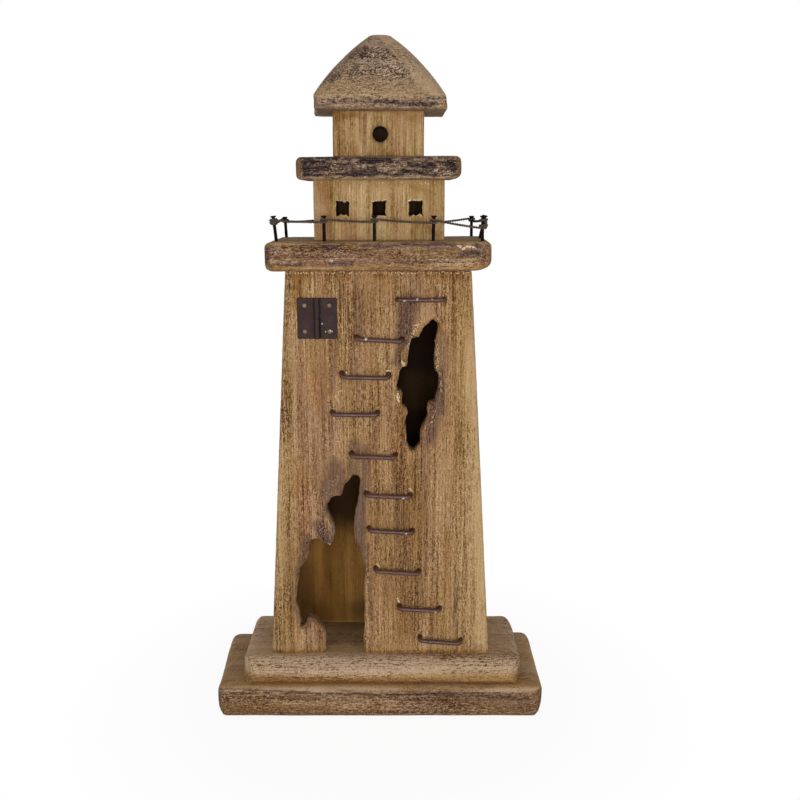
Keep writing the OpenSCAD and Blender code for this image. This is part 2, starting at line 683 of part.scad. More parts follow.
// Route of the twine: straight to each post, one turn round it, straight on to the next
turn_r = (post_d / 2 + twine_d / 2 + twine_fit) / cos(turn_step / 2);
twine_rise = twine_d + twine_gap;
function next_post(i) = (i + 1) % POSTS;
function on_axis(i, z) = post_foot(i) + [post_shares[i][2] * z, 0, z];
function turn_mid(i) = post_shares[i][3] * post_h;
function heading(i) =
    let (way = on_axis(next_post(i), turn_mid(next_post(i))) - on_axis(i, turn_mid(i)))
    atan2(way[1], way[0]);
function turn_points(i) =
    let (start = heading((i + POSTS - 1) % POSTS),
         swing = 360 + (heading(i) - start + 720) % 360,
         steps = ceil(swing / turn_step))
    [for (k = [0 : steps])
        let (a = start + swing * k / steps,
             z = turn_mid(i) + (k / steps - 0.5) * twine_rise * swing / 360)
        on_axis(i, z) + turn_r * [sin(a), -cos(a), 0]];
turns = [for (i = [0 : POSTS - 1]) turn_points(i)];
function run_points(from, to) = [for (s = sag_place_shares)
    from + (to - from) * s - [0, 0, 4 * s * (1 - s) * sag_share * norm(to - from)]];
twine_route = [for (i = [0 : POSTS - 1])
    each concat(turns[i], run_points(turns[i][len(turns[i]) - 1], turns[next_post(i)][0]))];

// Ring of the tube across the route's direction at one of its points
function twine_ring(i) =
    let (n = len(twine_route),
         way = twine_route[(i + 1) % n] - twine_route[(i + n - 1) % n],
         along = way / norm(way),
         level = cross(along, [0, 0, 1]),
         side = level / norm(level),
         up = cross(side, along))
    [for (k = [0 : twine_sides - 1])
        let (a = 360 * k / twine_sides)
        twine_route[i] + twine_d / 2 * (cos(a) * side + sin(a) * up)];
module rail_twine() color(cord) loop([for (i = [0 : len(twine_route) - 1]) twine_ring(i)]);

// Least gap of the twine to itself, measured between points of one post's turn a full turn apart
turn_gap = min([for (points = turns, a = [0 : len(points) - 1], b = [0 : len(points) - 1])
    if (b - a > 180 / turn_step) norm(points[a] - points[b])]) - twine_d;
echo(least_twine_gap = turn_gap);

base_board_lower();
base_board_upper();
base_screws();
tower_front();
tower_back();
tower_side_left();
tower_side_right();
back_brads();
gallery_dowels();
gallery_deck();
watch_room_dowels();
watch_room();
eave_dowels();
eave_deck();
lantern_dowels();
lantern_room();
roof_dowel();
roof();
hinge_leaf_left();
hinge_leaf_right();
hinge_pin();
hinge_nails();
rail_twine();
for (i = [0 : RUNGS - 1]) rung(i);
for (i = [0 : POSTS - 1]) rail_post(i);
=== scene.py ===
# Wooden lighthouse ornament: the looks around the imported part.
# Lengths and places below are millimetres in the part's own frame. MM turns them into metres.
import functools
import itertools
import math

import bmesh
import bpy
import numpy as np
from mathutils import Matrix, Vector


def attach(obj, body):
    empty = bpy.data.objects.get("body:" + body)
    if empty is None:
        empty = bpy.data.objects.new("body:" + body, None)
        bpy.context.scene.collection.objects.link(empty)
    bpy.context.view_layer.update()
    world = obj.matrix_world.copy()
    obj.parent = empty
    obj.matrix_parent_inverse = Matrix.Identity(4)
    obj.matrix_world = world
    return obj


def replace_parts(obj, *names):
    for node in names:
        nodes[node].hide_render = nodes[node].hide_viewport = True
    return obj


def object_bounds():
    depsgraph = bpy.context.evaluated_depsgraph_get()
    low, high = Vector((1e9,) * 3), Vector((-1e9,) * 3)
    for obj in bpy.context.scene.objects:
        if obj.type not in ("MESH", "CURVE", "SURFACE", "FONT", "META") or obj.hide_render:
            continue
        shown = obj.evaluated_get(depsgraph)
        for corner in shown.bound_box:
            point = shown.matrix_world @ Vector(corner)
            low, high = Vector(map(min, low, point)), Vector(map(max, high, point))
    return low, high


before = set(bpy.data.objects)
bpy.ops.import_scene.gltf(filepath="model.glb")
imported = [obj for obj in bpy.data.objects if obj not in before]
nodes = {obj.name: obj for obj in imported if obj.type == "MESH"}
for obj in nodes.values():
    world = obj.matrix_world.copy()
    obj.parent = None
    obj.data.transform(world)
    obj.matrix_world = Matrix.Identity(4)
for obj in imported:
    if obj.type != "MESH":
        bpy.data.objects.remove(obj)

cad_low, cad_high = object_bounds()
MM = 0.001

# Camera
CAMERA_PLACE = (13.7, -623.9, 352.9)
CAMERA_DOWN = 12.53
CAMERA_LENS = 42.35


def put(name, data):
    """New object in the scene."""
    made = bpy.data.objects.new(name, data)
    bpy.context.scene.collection.objects.link(made)
    return made


def make_camera():
    data = bpy.data.cameras.new("camera")
    data.lens = CAMERA_LENS
    data.clip_start = 10 * MM
    camera = put("camera", data)
    camera.location = [value * MM for value in CAMERA_PLACE]
    camera.rotation_euler = (math.radians(90 - CAMERA_DOWN), 0, 0)
    bpy.context.scene.camera = camera


# Short calls for nodes
def colour(rgb):
    """Linear colour of an sRGB colour given as three numbers up to 255."""
    shares = [value / 255 for value in rgb]
    linear = [s / 12.92 if s <= 0.04045 else ((s + 0.055) / 1.055) ** 2.4 for s in shares]
    return (*linear, 1)


class Tree:
    """Node tree of one material or world."""

    def __init__(self, owner, out="ShaderNodeOutputMaterial"):
        owner.use_nodes = True
        self.owner = owner
        self.tree = owner.node_tree
        self.tree.nodes.clear()
        self.out = self.tree.nodes.new(out)

    def add(self, kind, inputs=None, **settings):
        made = self.tree.nodes.new(kind)
        for key, value in settings.items():
            setattr(made, key, value)
        self.feed(made, inputs or {})
        return made

    def feed(self, made, inputs):
        """Links or sets a node's inputs."""
        for key, value in inputs.items():
            if isinstance(value, bpy.types.NodeSocket):
                self.tree.links.new(value, made.inputs[key])
            else:
                made.inputs[key].default_value = value

    def place(self):
        """Object coordinates in millimetres."""
        coordinates = self.add("ShaderNodeTexCoord")
        return self.add("ShaderNodeVectorMath", {0: coordinates.outputs["Object"], "Scale": 1 / MM},
                        operation="SCALE").outputs[0]

    def noise(self, place, sizes, detail, rough):
        """Noise whose features have the given sizes along X, Y and Z."""
        vector = self.add("ShaderNodeVectorMath", {0: place, 1: sizes}, operation="DIVIDE").outputs[0]
        return self.add("ShaderNodeTexNoise", {"Vector": vector, "Scale": 1.0, "Detail": detail,
                                               "Roughness": rough}).outputs[0]

    def step(self, value, low, high, out_low=0.0, out_high=1.0):
        """Smooth step of a value from low to high."""
        return self.add("ShaderNodeMapRange", {"Value": value, "From Min": low, "From Max": high,
                                               "To Min": out_low, "To Max": out_high},
                        interpolation_type="SMOOTHSTEP").outputs[0]

    def math(self, operation, a, b):
        return self.add("ShaderNodeMath", {0: a, 1: b}, operation=operation).outputs[0]

    def total(self, *terms):
        """Sum of values, each times its weight."""
        result = 0.0
        for value, weight in terms:
            made = self.add("ShaderNodeMath", {0: value, 1: weight, 2: result}, operation="MULTIPLY_ADD")
            result = made.outputs[0]
        return result

    def times(self, *values):
        return functools.reduce(lambda a, b: self.math("MULTIPLY", a, b), values)

    def mix(self, share, a, b):
        made = self.add("ShaderNodeMix", data_type="RGBA")
        self.feed(made, {0: share, 6: a, 7: b})
        return made.outputs[2]

    def layers(self, base, *overs):
        """A base colour with others laid over it one after another, each with its share."""
        for share, over in overs:
            base = self.mix(share, base, over)
        return base

    def ramp(self, value, *stops):
        """Colours along a value, as pairs of a place and a tone."""
        made = self.add("ShaderNodeValToRGB", {"Fac": value})
        elements = made.color_ramp.elements
        while len(elements) < len(stops):
            elements.new(0.5)
        for element, (place, tone) in zip(elements, stops):
            element.position = place
            element.color = colour(tone)
        return made.outputs[0]

    def painted(self, name):
        """Value of a mask that was stored on the mesh's points."""
        return self.add("ShaderNodeAttribute", attribute_name=name).outputs["Fac"]

    def seen(self):
        """1 where the camera looks, also by way of a glossy surface."""
        path = self.add("ShaderNodeLightPath")
        return self.math("MAXIMUM", path.outputs["Is Camera Ray"], path.outputs["Is Glossy Ray"])

    def finish(self, shader):
        self.tree.links.new(shader.outputs[0], self.out.inputs["Surface"])
        return self.owner

    def surface(self, base, rough, height, bump_mm, **uniform):
        bump = self.add("ShaderNodeBump", {"Height": height, "Strength": 0.8, "Distance": bump_mm * MM})
        return self.finish(self.add("ShaderNodeBsdfPrincipled", {
            "Base Color": base, "Roughness": rough, "Normal": bump.outputs[0],
            **{key.replace("_", " "): value for key, value in uniform.items()}}))


def material(name):
    return Tree(bpy.data.materials.new(name))


# Wood
def along_grain(upright, across, length):
    """Sizes of a feature across and along the grain, as X, Y and Z sizes."""
    return (across, across, length) if upright else (length, across, across)


TOWER_MIX = (0.25, 0.28, 0.31, 0.16)
BOARD_MIX = (0.32, 0.30, 0.18, 0.20)
ROOF_MIX = (0.46, 0.30, 0.08, 0.16)
ROOM_MIX = (0.14, 0.20, 0.43, 0.23)
INNER_MIX = (0.14, 0.16, 0.20, 0.50)
# Size across and along the grain, detail and roughness of the specks, bristles, strands, bands, clouds,
# drifts and calm patches
WOOD_NOISES = [(0.85, 1.1, 2.0, 0.7), (0.8, 3.6, 2.0, 0.6), (1.0, 48, 3.0, 0.7), (9, 150, 3.0, 0.55),
               (26, 60, 3.0, 0.55), (15, 75, 2.0, 0.5), (16, 36, 2.0, 0.5)]
# Masks of a plain surface. The tone 0.5 is the plain one
PLAIN_MASKS = {"tone": 0.5, "burn": 0, "bevel": 0, "wash": 0, "chip": 0, "stain": 0, "gold": 0, "wear": 0,
               "smooth": 0, "shade": 0}


def wood(name, tones, upright, mixture, seed=0.0, flecks=0.5, pits=0.6, spread=0.17):
    """Brushed, stained and worn wood.
    The mixture has the shares of specks, bristles, strands and bands in its value.
    The masks on the mesh are those that PLAIN_MASKS names."""
    t = material(name)
    place = t.add("ShaderNodeVectorMath", {0: t.place(), 1: (seed, seed, seed)}, operation="ADD").outputs[0]
    speck, bristle, strand, band, cloud, drift, patch = [
        t.noise(place, along_grain(upright, across, length), detail, rough)
        for across, length, detail, rough in WOOD_NOISES]
    calm = t.times(t.step(patch, 0.38, 0.62, 0.7, 1.22), t.step(t.painted("smooth"), 0.0, 1.0, 1.0, 0.35))
    mixed = t.total(*zip((speck, bristle, strand, band), mixture), (1.0, -0.5))
    value = t.total((t.times(mixed, calm), 1 / spread), (t.painted("tone"), 0.9), (1.0, 0.05))
    rough_off = t.total((speck, 1.4), (bristle, 1.0), (1.0, -1.2))

    def along(value, *stops):
        """Named tones along a value."""
        return t.ramp(value, *[(place, tones[key]) for place, key in stops])

    base = along(value, (0.0, "line"), (0.22, "dark"), (0.5, "base"), (0.78, "light"), (1.0, "pale"))
    golden = t.math("MAXIMUM", t.step(drift, 0.50, 0.62, 0.0, 0.6), t.painted("gold"))
    for share, key in ((t.step(cloud, 0.42, 0.66, 0.0, 0.7), "warm"),
                       (t.step(drift, 0.48, 0.37, 0.0, 0.5), "mauve"), (golden, "gold")):
        base = t.mix(share, base, along(value, (0.0, "line"), (0.3, key + "_dark"), (0.9, key)))

    burn, chip = t.painted("burn"), t.painted("chip")
    ragged = t.total((burn, 1.0), (value, -0.25), (rough_off, 1.1), (1.0, 0.13))
    burnt = t.times(t.step(ragged, 0.1, 1.0), t.step(burn, 0.0, 0.25))
    burn_value = t.total((rough_off, 1.5), (value, 0.25), (1.0, 0.375))
    ragged_chip = t.total((chip, 1.0), (speck, 2.8), (1.0, -1.4))
    chipped = t.times(t.step(ragged_chip, 0.74, 0.98), t.step(chip, 0.0, 0.1))
    tint = {key: colour(tone) for key, tone in tones.items()}
    base = t.layers(
        base,
        (t.times(t.step(speck, 0.60, 0.72, 0.0, flecks), calm), tint["pale"]),
        (t.times(t.step(speck, 0.40, 0.29, 0.0, pits), calm), tint["line"]),
        (t.painted("stain"), along(value, (0.1, "stain_dark"), (0.8, "stain"))),
        (burnt, along(burn_value, (0.1, "burn_dark"), (0.5, "burn"), (0.95, "burn_light"))),
        (t.painted("bevel"), along(value, (0.1, "burn"), (0.8, "bevel"))),
        (t.times(t.painted("wash"), t.step(value, 0.42, 0.85)), tint["wash"]),
        (t.times(t.painted("wear"), t.step(value, 0.30, 0.75)), tint["worn"]),
        (chipped, tint["chip"]),
        # Painted shading in openings and hollows, and the dark cores of burn marks and cracks
        (t.painted("shade"), tint["shade"]))
    height = t.total((value, 0.75), (speck, 0.5), (chipped, 0.25))
    return t.surface(base, t.step(value, 0.2, 0.8, 0.9, 0.72), height, 0.4, Specular_IOR_Level=0.14)


# In these tables one near-black tone colours both painted shading in openings and the dark cores of burn
# marks and cracks
TOWER_TONES = {
    "line": (73, 45, 21), "dark": (118, 81, 47), "base": (153, 117, 80), "light": (174, 138, 100),
    "pale": (202, 173, 134), "warm": (172, 127, 86), "warm_dark": (120, 77, 43), "stain": (140, 94, 40),
    "stain_dark": (80, 48, 16), "burn_dark": (46, 28, 22), "burn": (88, 63, 52),
    "burn_light": (132, 104, 84), "bevel": (126, 108, 96), "wash": (186, 158, 124), "worn": (188, 158, 116),
    "chip": (222, 194, 156), "shade": (34, 19, 7), "gold": (178, 147, 98), "gold_dark": (121, 92, 49),
    "mauve": (176, 143, 114), "mauve_dark": (116, 83, 58)}
ROOM_TONES = {
    **TOWER_TONES, "base": (159, 128, 85), "light": (180, 150, 108), "dark": (126, 92, 50),
    "warm": (172, 136, 92), "gold": (178, 152, 102), "gold_dark": (128, 102, 56)}
BOARD_TONES = {
    **TOWER_TONES, "line": (58, 36, 22), "dark": (98, 68, 44), "base": (131, 101, 74),
    "light": (156, 127, 98), "pale": (186, 158, 130), "warm": (142, 108, 72), "warm_dark": (88, 58, 32),
    "stain": (162, 122, 70), "stain_dark": (106, 70, 30), "wash": (190, 163, 136), "worn": (176, 147, 116),
    "gold": (158, 128, 80), "gold_dark": (98, 72, 36), "mauve": (158, 132, 114), "mauve_dark": (94, 70, 60)}
UPPER_TONES = {
    **BOARD_TONES, "line": (74, 48, 28), "dark": (116, 84, 56), "base": (152, 121, 90),
    "light": (184, 155, 123), "pale": (210, 184, 152), "warm": (156, 120, 78), "warm_dark": (98, 66, 36),
    "gold": (178, 148, 102), "gold_dark": (120, 88, 48), "mauve": (182, 154, 130),
    "mauve_dark": (118, 90, 72)}
DECK_TONES = {
    **BOARD_TONES, "base": (132, 100, 74), "dark": (94, 64, 46), "warm": (146, 108, 76),
    "burn_dark": (50, 34, 36), "burn": (80, 60, 58), "burn_light": (128, 102, 92), "chip": (228, 204, 180)}
EAVE_TONES = {
    **DECK_TONES, "base": (138, 110, 86), "dark": (88, 62, 48), "line": (50, 32, 28),
    "burn_dark": (27, 18, 21), "burn": (50, 35, 38), "burn_light": (104, 82, 72), "pale": (200, 173, 145),
    "shade": (30, 19, 21)}
ROOF_TONES = {
    **BOARD_TONES, "line": (62, 42, 34), "dark": (98, 74, 56), "base": (136, 111, 86),
    "light": (158, 134, 110), "pale": (184, 160, 136), "warm": (150, 122, 90), "warm_dark": (96, 68, 46),
    "burn_dark": (38, 26, 26), "burn": (74, 54, 49), "burn_light": (116, 92, 80), "shade": (36, 25, 26),
    "gold": (170, 142, 104), "gold_dark": (110, 84, 54), "chip": (200, 177, 154)}
INNER_TONES = {
    **TOWER_TONES, "line": (98, 66, 24), "dark": (120, 82, 34), "base": (144, 102, 48),
    "light": (158, 116, 60), "pale": (176, 136, 84), "warm": (150, 104, 46), "warm_dark": (112, 74, 28),
    "gold": (158, 116, 54), "gold_dark": (122, 86, 34), "mauve": (152, 108, 54),
    "mauve_dark": (114, 78, 34)}


# Metal, twine and hidden wood
def painted_iron(name, tone, edge_tone, chip_tone, rough, shine=0.26):
    """Dark paint on iron, with worn edges and a few bright chips where the mask chip says. On the hinge,
    the masks also lay a painted highlight and painted shadow along its barrel.
    """
    t = material(name)
    place = t.place()
    fine = t.noise(place, (0.9, 0.9, 0.9), 4.0, 0.6)
    broad = t.noise(place, (5.0, 5.0, 5.0), 3.0, 0.5)
    chip, edge = t.painted("chip"), colour(edge_tone)
    ragged = t.total((chip, 1.0), (fine, 3.0), (1.0, -1.5))
    chipped = t.times(t.step(ragged, 0.72, 0.95), t.step(chip, 0.0, 0.2))
    base = t.layers(
        colour(tone),
        (t.step(fine, 0.45, 0.70, 0.0, 0.7), edge),
        (t.step(broad, 0.52, 0.72, 0.0, 0.5), edge),
        # Worn edges, and on the hinge also a painted highlight along the barrel
        (t.times(t.painted("wear"), t.step(fine, 0.4, 0.6, 0.0, 0.6)), edge),
        (chipped, colour(chip_tone)),
        # Painted shadow beside the hinge's barrel
        (t.painted("shade"), colour((16, 9, 8))))
    height = t.total((fine, 1.0), (chipped, -0.4))
    return t.surface(base, t.step(broad, 0.3, 0.7, rough, rough + 0.2), height, 0.12,
                     Specular_IOR_Level=shine)


def fine_look(name, sizes, low, high, ends, bump_mm, **uniform):
    """Look of a hidden piece: two tones, and two roughnesses, along one fine noise."""
    t = material(name)
    fine = t.noise(t.place(), sizes, 4.0, 0.6)
    return t.surface(t.ramp(fine, low, high), t.step(fine, 0.3, 0.7, *ends), fine, bump_mm, **uniform)


def twine_look(name):
    """Waxed twine: dark strands with lighter fibres along them."""
    t = material(name)
    place = t.place()
    fibre = t.noise(place, (0.3, 0.3, 0.3), 3.0, 0.6)
    broad = t.noise(place, (7.0, 7.0, 7.0), 2.0, 0.5)
    base = t.ramp(fibre, (0.35, (38, 29, 23)), (0.52, (82, 68, 55)), (0.7, (146, 130, 110)))
    base = t.mix(t.step(broad, 0.5, 0.7, 0.0, 0.5), base, colour((104, 86, 64)))
    return t.surface(base, 0.8, fibre, 0.15, Specular_IOR_Level=0.15)


LOOKS = {
    "tower": wood("tower_wood_look", TOWER_TONES, True, TOWER_MIX),
    "inner": wood("inner_wood_look", INNER_TONES, True, INNER_MIX, 310.0, flecks=0.2, pits=0.2, spread=0.3),
    "room": wood("room_wood_look", ROOM_TONES, True, ROOM_MIX, 70.0, flecks=0.3, pits=0.3, spread=0.27),
    "lower_base": wood("lower_base_look", BOARD_TONES, False, BOARD_MIX, 130.0),
    "upper_base": wood("upper_base_look", UPPER_TONES, False, BOARD_MIX, 160.0, flecks=0.7, spread=0.14),
    "deck": wood("deck_wood_look", DECK_TONES, False, BOARD_MIX, 190.0, flecks=0.6),
    "eave": wood("eave_wood_look", EAVE_TONES, False, BOARD_MIX, 250.0, flecks=1.0),
    "roof": wood("roof_wood_look", ROOF_TONES, False, ROOF_MIX, 410.0, pits=0.4),
    "rung": painted_iron("rung_iron_look", (60, 26, 18), (98, 54, 38), (206, 186, 170), 0.2, 0.5),
    "hinge": painted_iron("hinge_iron_look", (43, 26, 24), (58, 39, 35), (196, 186, 180), 0.6),
    "hinge_nail": painted_iron("hinge_nail_look", (118, 94, 68), (150, 126, 96), (206, 198, 190), 0.5),
    "post": painted_iron("post_iron_look", (17, 11, 9), (34, 25, 21), (96, 84, 76), 0.7, 0.05),
    "steel": fine_look("screw_steel_look", (1.2, 1.2, 0.4), (0.35, (132, 130, 126)), (0.7, (176, 172, 160)),
                       (0.3, 0.5), 0.08, Metallic=0.9),
    "dowel": fine_look("dowel_wood_look", (0.8, 0.8, 12), (0.3, (168, 134, 92)), (0.7, (208, 178, 134)),
                       (0.8, 0.6), 0.1, Specular_IOR_Level=0.25),
    "twine": twine_look("twine_look"),
}


# Noise on points
def unit(vectors):
    return vectors / np.linalg.norm(vectors, axis=1)[:, None]


class Noise:
    """Gradient noise of about -1 to 1 on a lattice of seeded directions."""

    SIZE = 256

    def __init__(self, seed):
        rng = np.random.default_rng(seed)
        self.order = rng.permutation(self.SIZE)
        self.directions = unit(rng.normal(size=(self.SIZE, 3)))

    def once(self, points, sizes):
        scaled = points / sizes
        cell = np.floor(scaled).astype(int)
        inside = scaled - cell
        fade = inside ** 3 * (inside * (inside * 6 - 15) + 10)
        total = np.zeros(len(points))
        for corner in itertools.product((0, 1), repeat=3):
            index = 0
            for spot in (cell + corner).T:
                index = self.order[(index + spot) % self.SIZE]
            slope = np.einsum("ij,ij->i", self.directions[index], inside - corner)
            total += slope * np.prod(np.where(corner, fade, 1 - fade), axis=1)
        return 1.7 * total

    def at(self, points, sizes, octaves):
        sizes = np.asarray(sizes, float)
        return sum(self.once(points, sizes / 2 ** k) / 2 ** k for k in range(octaves))


def ease(value, low, high):
    """Goes smoothly from 0 to 1 as the value goes from low to high."""
    share = np.clip((value - low) / (high - low), 0, 1)
    return share * share * (3 - 2 * share)


def most(*masks):
    """The greatest of several masks at each point."""
    return np.maximum.reduce(masks)


# Meshes
def read_points(mesh, kind="co"):
    flat = np.empty(len(mesh.vertices) * 3, np.float32)
    mesh.vertices.foreach_get(kind, flat)
    return flat.reshape(-1, 3).astype(float)


def write_points(mesh, points):
    mesh.vertices.foreach_set("co", (points * MM).astype(np.float32).ravel())
    mesh.update()


def read_edges(mesh):
    flat = np.empty(len(mesh.edges) * 2, np.int32)
    mesh.edges.foreach_get("vertices", flat)
    return flat.reshape(-1, 2)


def neighbour_mean(values, edges):
    """Mean over each point's neighbours of a value or vector."""
    count = len(values)
    a, b = edges[:, 0], edges[:, 1]
    share = np.maximum(np.bincount(a, minlength=count) + np.bincount(b, minlength=count), 1)
    flat = values.reshape(count, -1)
    sums = [np.bincount(a, flat[b, k], count) + np.bincount(b, flat[a, k], count)
            for k in range(flat.shape[1])]
    return (np.stack(sums, 1) / share[:, None]).reshape(values.shape)


def paint(mesh, name, values):
    """Stores a mask on the mesh's points for the material."""
    layer = mesh.attributes.new(name, "FLOAT", "POINT")
    layer.data.foreach_set("value", np.clip(values, 0, 1).astype(np.float32))


def reworked(mesh, change):
    """The mesh itself, changed by a function of its bmesh."""
    work = bmesh.new()
    work.from_mesh(mesh)
    change(work)
    work.to_mesh(mesh)
    work.free()
    return mesh


def new_piece(name, mesh, look):
    piece = put(name, mesh)
    wear_look(piece, look)
    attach(piece, "root")
    return piece


def wear_look(piece, look):
    piece.data.materials.clear()
    piece.data.materials.append(LOOKS[look])


def remeshed(node, name, voxel, look):
    """Fine even mesh over a CAD node, as a new piece that replaces the node."""
    rough = reworked(nodes[node].data.copy(),
                     lambda work: bmesh.ops.remove_doubles(work, verts=work.verts, dist=0.002 * MM))
    piece = new_piece(name, rough, look)
    change = piece.modifiers.new("voxels", "REMESH")
    change.mode = "VOXEL"
    change.voxel_size = voxel * MM
    change.use_smooth_shade = True
    shown = piece.evaluated_get(bpy.context.evaluated_depsgraph_get())
    fine = bpy.data.meshes.new_from_object(shown)
    piece.modifiers.clear()
    piece.data = fine
    wear_look(piece, look)
    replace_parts(piece, node)
    return piece


# How far the worn pieces may pass the CAD model's box
BOX_SLACK = (2.2, 0, 0)
# Planes in which corners are rounded, as pairs of axes
FROM_FRONT, FROM_SIDE, FROM_ABOVE = (0, 2), (1, 2), (0, 1)
# How far a block reaches into the worn boards that it touches
JOINT_REACH = 0.6


class Surface:
    """Points of a fine mesh, with the tools that wear it."""

    def __init__(self, piece, voxel, seed):
        self.mesh = piece.data
        self.noise = Noise(seed)
        self.edges = read_edges(self.mesh)
        self.rest = read_points(self.mesh) / MM
        self.normals = read_points(self.mesh, "normal")
        self.low, self.high = self.rest.min(0), self.rest.max(0)
        # The moved points, and views of their X, Y and Z
        self.points = self.rest.copy()
        self.px, self.py, self.pz = self.points.T
        bend = neighbour_mean(self.rest, self.edges) - self.rest
        raised = -np.einsum("ij,ij->i", bend, self.normals) / voxel
        for _ in range(3):
            raised = neighbour_mean(raised, self.edges)
        self.convex = ease(raised, 0.03, 0.14)

    def facing(self, axis, sign):
        return ease(sign * self.normals[:, axis], 0.35, 0.7)

    def waves(self, sizes, octaves=2, shift=0.0):
        """Noise whose features have the given sizes along X, Y and Z."""
        return self.noise.at(self.rest + shift, sizes, octaves)

    def patches(self, sizes, low, high, octaves=3):
        """Patchy mask between two noise levels."""
        return ease(self.waves(sizes, octaves), low, high)

    def oval(self, middle_x, middle_z, half_x, half_z, edge, full):
        """Mask of an oval seen from the front. It goes from its edge to where it is full, as shares."""
        return ease(np.hypot((self.rest[:, 0] - middle_x) / half_x, (self.rest[:, 2] - middle_z) / half_z),
                    edge, full)

    def push(self, amount):
        self.points += self.normals * amount[:, None]

    def soften(self, rounds):
        """Rounds all edges by moving the points towards their neighbours' mean."""
        for _ in range(rounds):
            self.points += 0.8 * (neighbour_mean(self.points, self.edges) - self.points)

    def keep_foot(self, sharp, soft):
        """Undoes the softening at the foot, up to the two heights above it."""
        share = ease(self.rest[:, 2], self.low[2] + soft, self.low[2] + sharp)[:, None]
        self.points += share * (self.rest - self.points)

    def near_end(self, axis, side, reach):
        """0 at a reach inside one end of the piece, and 1 at that end."""
        end = self.high[axis] if side > 0 else self.low[axis]
        return 1 - side * (end - self.points[:, axis]) / reach

    def fill_corner(self, side_x, side_z, reach_x, reach_z):
        """Makes one rounded corner of a board's end squarer."""
        a = np.maximum(self.near_end(0, side_x, reach_x), 0)
        b = np.maximum(self.near_end(2, side_z, reach_z), 0)
        swell = np.hypot(a, b) / np.maximum((a ** 4 + b ** 4) ** 0.25, 1e-6) - 1
        swell *= (a > 0) & (b > 0)
        self.px += side_x * reach_x * swell * a
        self.pz += side_z * reach_z * swell * b

    def round_off(self, corners, axes=FROM_FRONT):
        """Rounds long corners of a board, each by a quarter ellipse, in the plane of two axes.
        Each has its side and its reach along both axes."""
        first, second = axes
        for side_a, side_b, reach_a, reach_b in corners:
            a, b = self.near_end(first, side_a, reach_a), self.near_end(second, side_b, reach_b)
            reach = np.hypot(a, b)
            outside = (a > 0) & (b > 0) & (reach > 1)
            cut = outside * (1 - 1 / np.maximum(reach, 1e-6))
            self.points[:, first] -= side_a * reach_a * cut * a
            self.points[:, second] -= side_b * reach_b * cut * b

    def wear(self, upright, wave, groove, edge=0.35):
        """Slow hollows, brushed grooves along the grain, and nibbled edges. All go inwards."""
        self.push(-wave * (0.5 + 0.5 * self.waves((34, 34, 34))))
        self.push(-groove * np.abs(self.waves(along_grain(upright, 2.4, 42))))
        self.push(-0.6 * groove * np.abs(self.waves(along_grain(upright, 1.6, 6))))
        self.push(-edge * self.convex * self.patches(along_grain(upright, 7, 15), -0.5, 0.7))

    def strokes(self, marks, ragged):
        """Mask of listed marks seen from the front.
        Each one goes from one X and Z to another, with a half width and a strength."""
        place = np.stack([self.rest[:, 0] + ragged * self.waves((5, 5, 8), 3),
                          self.rest[:, 2] + 1.6 * ragged * self.waves((5, 5, 8), 3, 57.0)], 1)
        mask = np.zeros(len(place))
        for x0, z0, x1, z1, half, strength in marks:
            start = np.array([x0, z0], float)
            way = np.array([x1 - x0, z1 - z0], float)
            share = np.clip((place - start) @ way / max(way @ way, 1e-9), 0, 1)
            gap = np.linalg.norm(place - start - share[:, None] * way, axis=1)
            mask = np.maximum(mask, strength * (1 - ease(gap, 0.2 * half, 1.6 * half)))
        return mask

    def reach_into(self, foot, top=0.0):
        """Lets the foot and the top reach a little into the worn boards that they touch."""
        height = self.rest[:, 2]
        self.pz -= foot * ease(height, self.low[2] + 2, self.low[2])
        self.pz += top * ease(height, self.high[2] - 2, self.high[2])

    def done(self, **masks):
        """Writes the moved points, held inside the box that they may fill, and the masks."""
        low, high = np.array(cad_low) / MM - BOX_SLACK, np.array(cad_high) / MM + BOX_SLACK
        write_points(self.mesh, np.clip(self.points, low, high))
        for name, value in {**PLAIN_MASKS, **masks}.items():
            paint(self.mesh, name, np.zeros(len(self.rest)) + value)


def wooden(node, name, voxel, look, seed):
    return Surface(remeshed(node, name, voxel, look), voxel, seed)


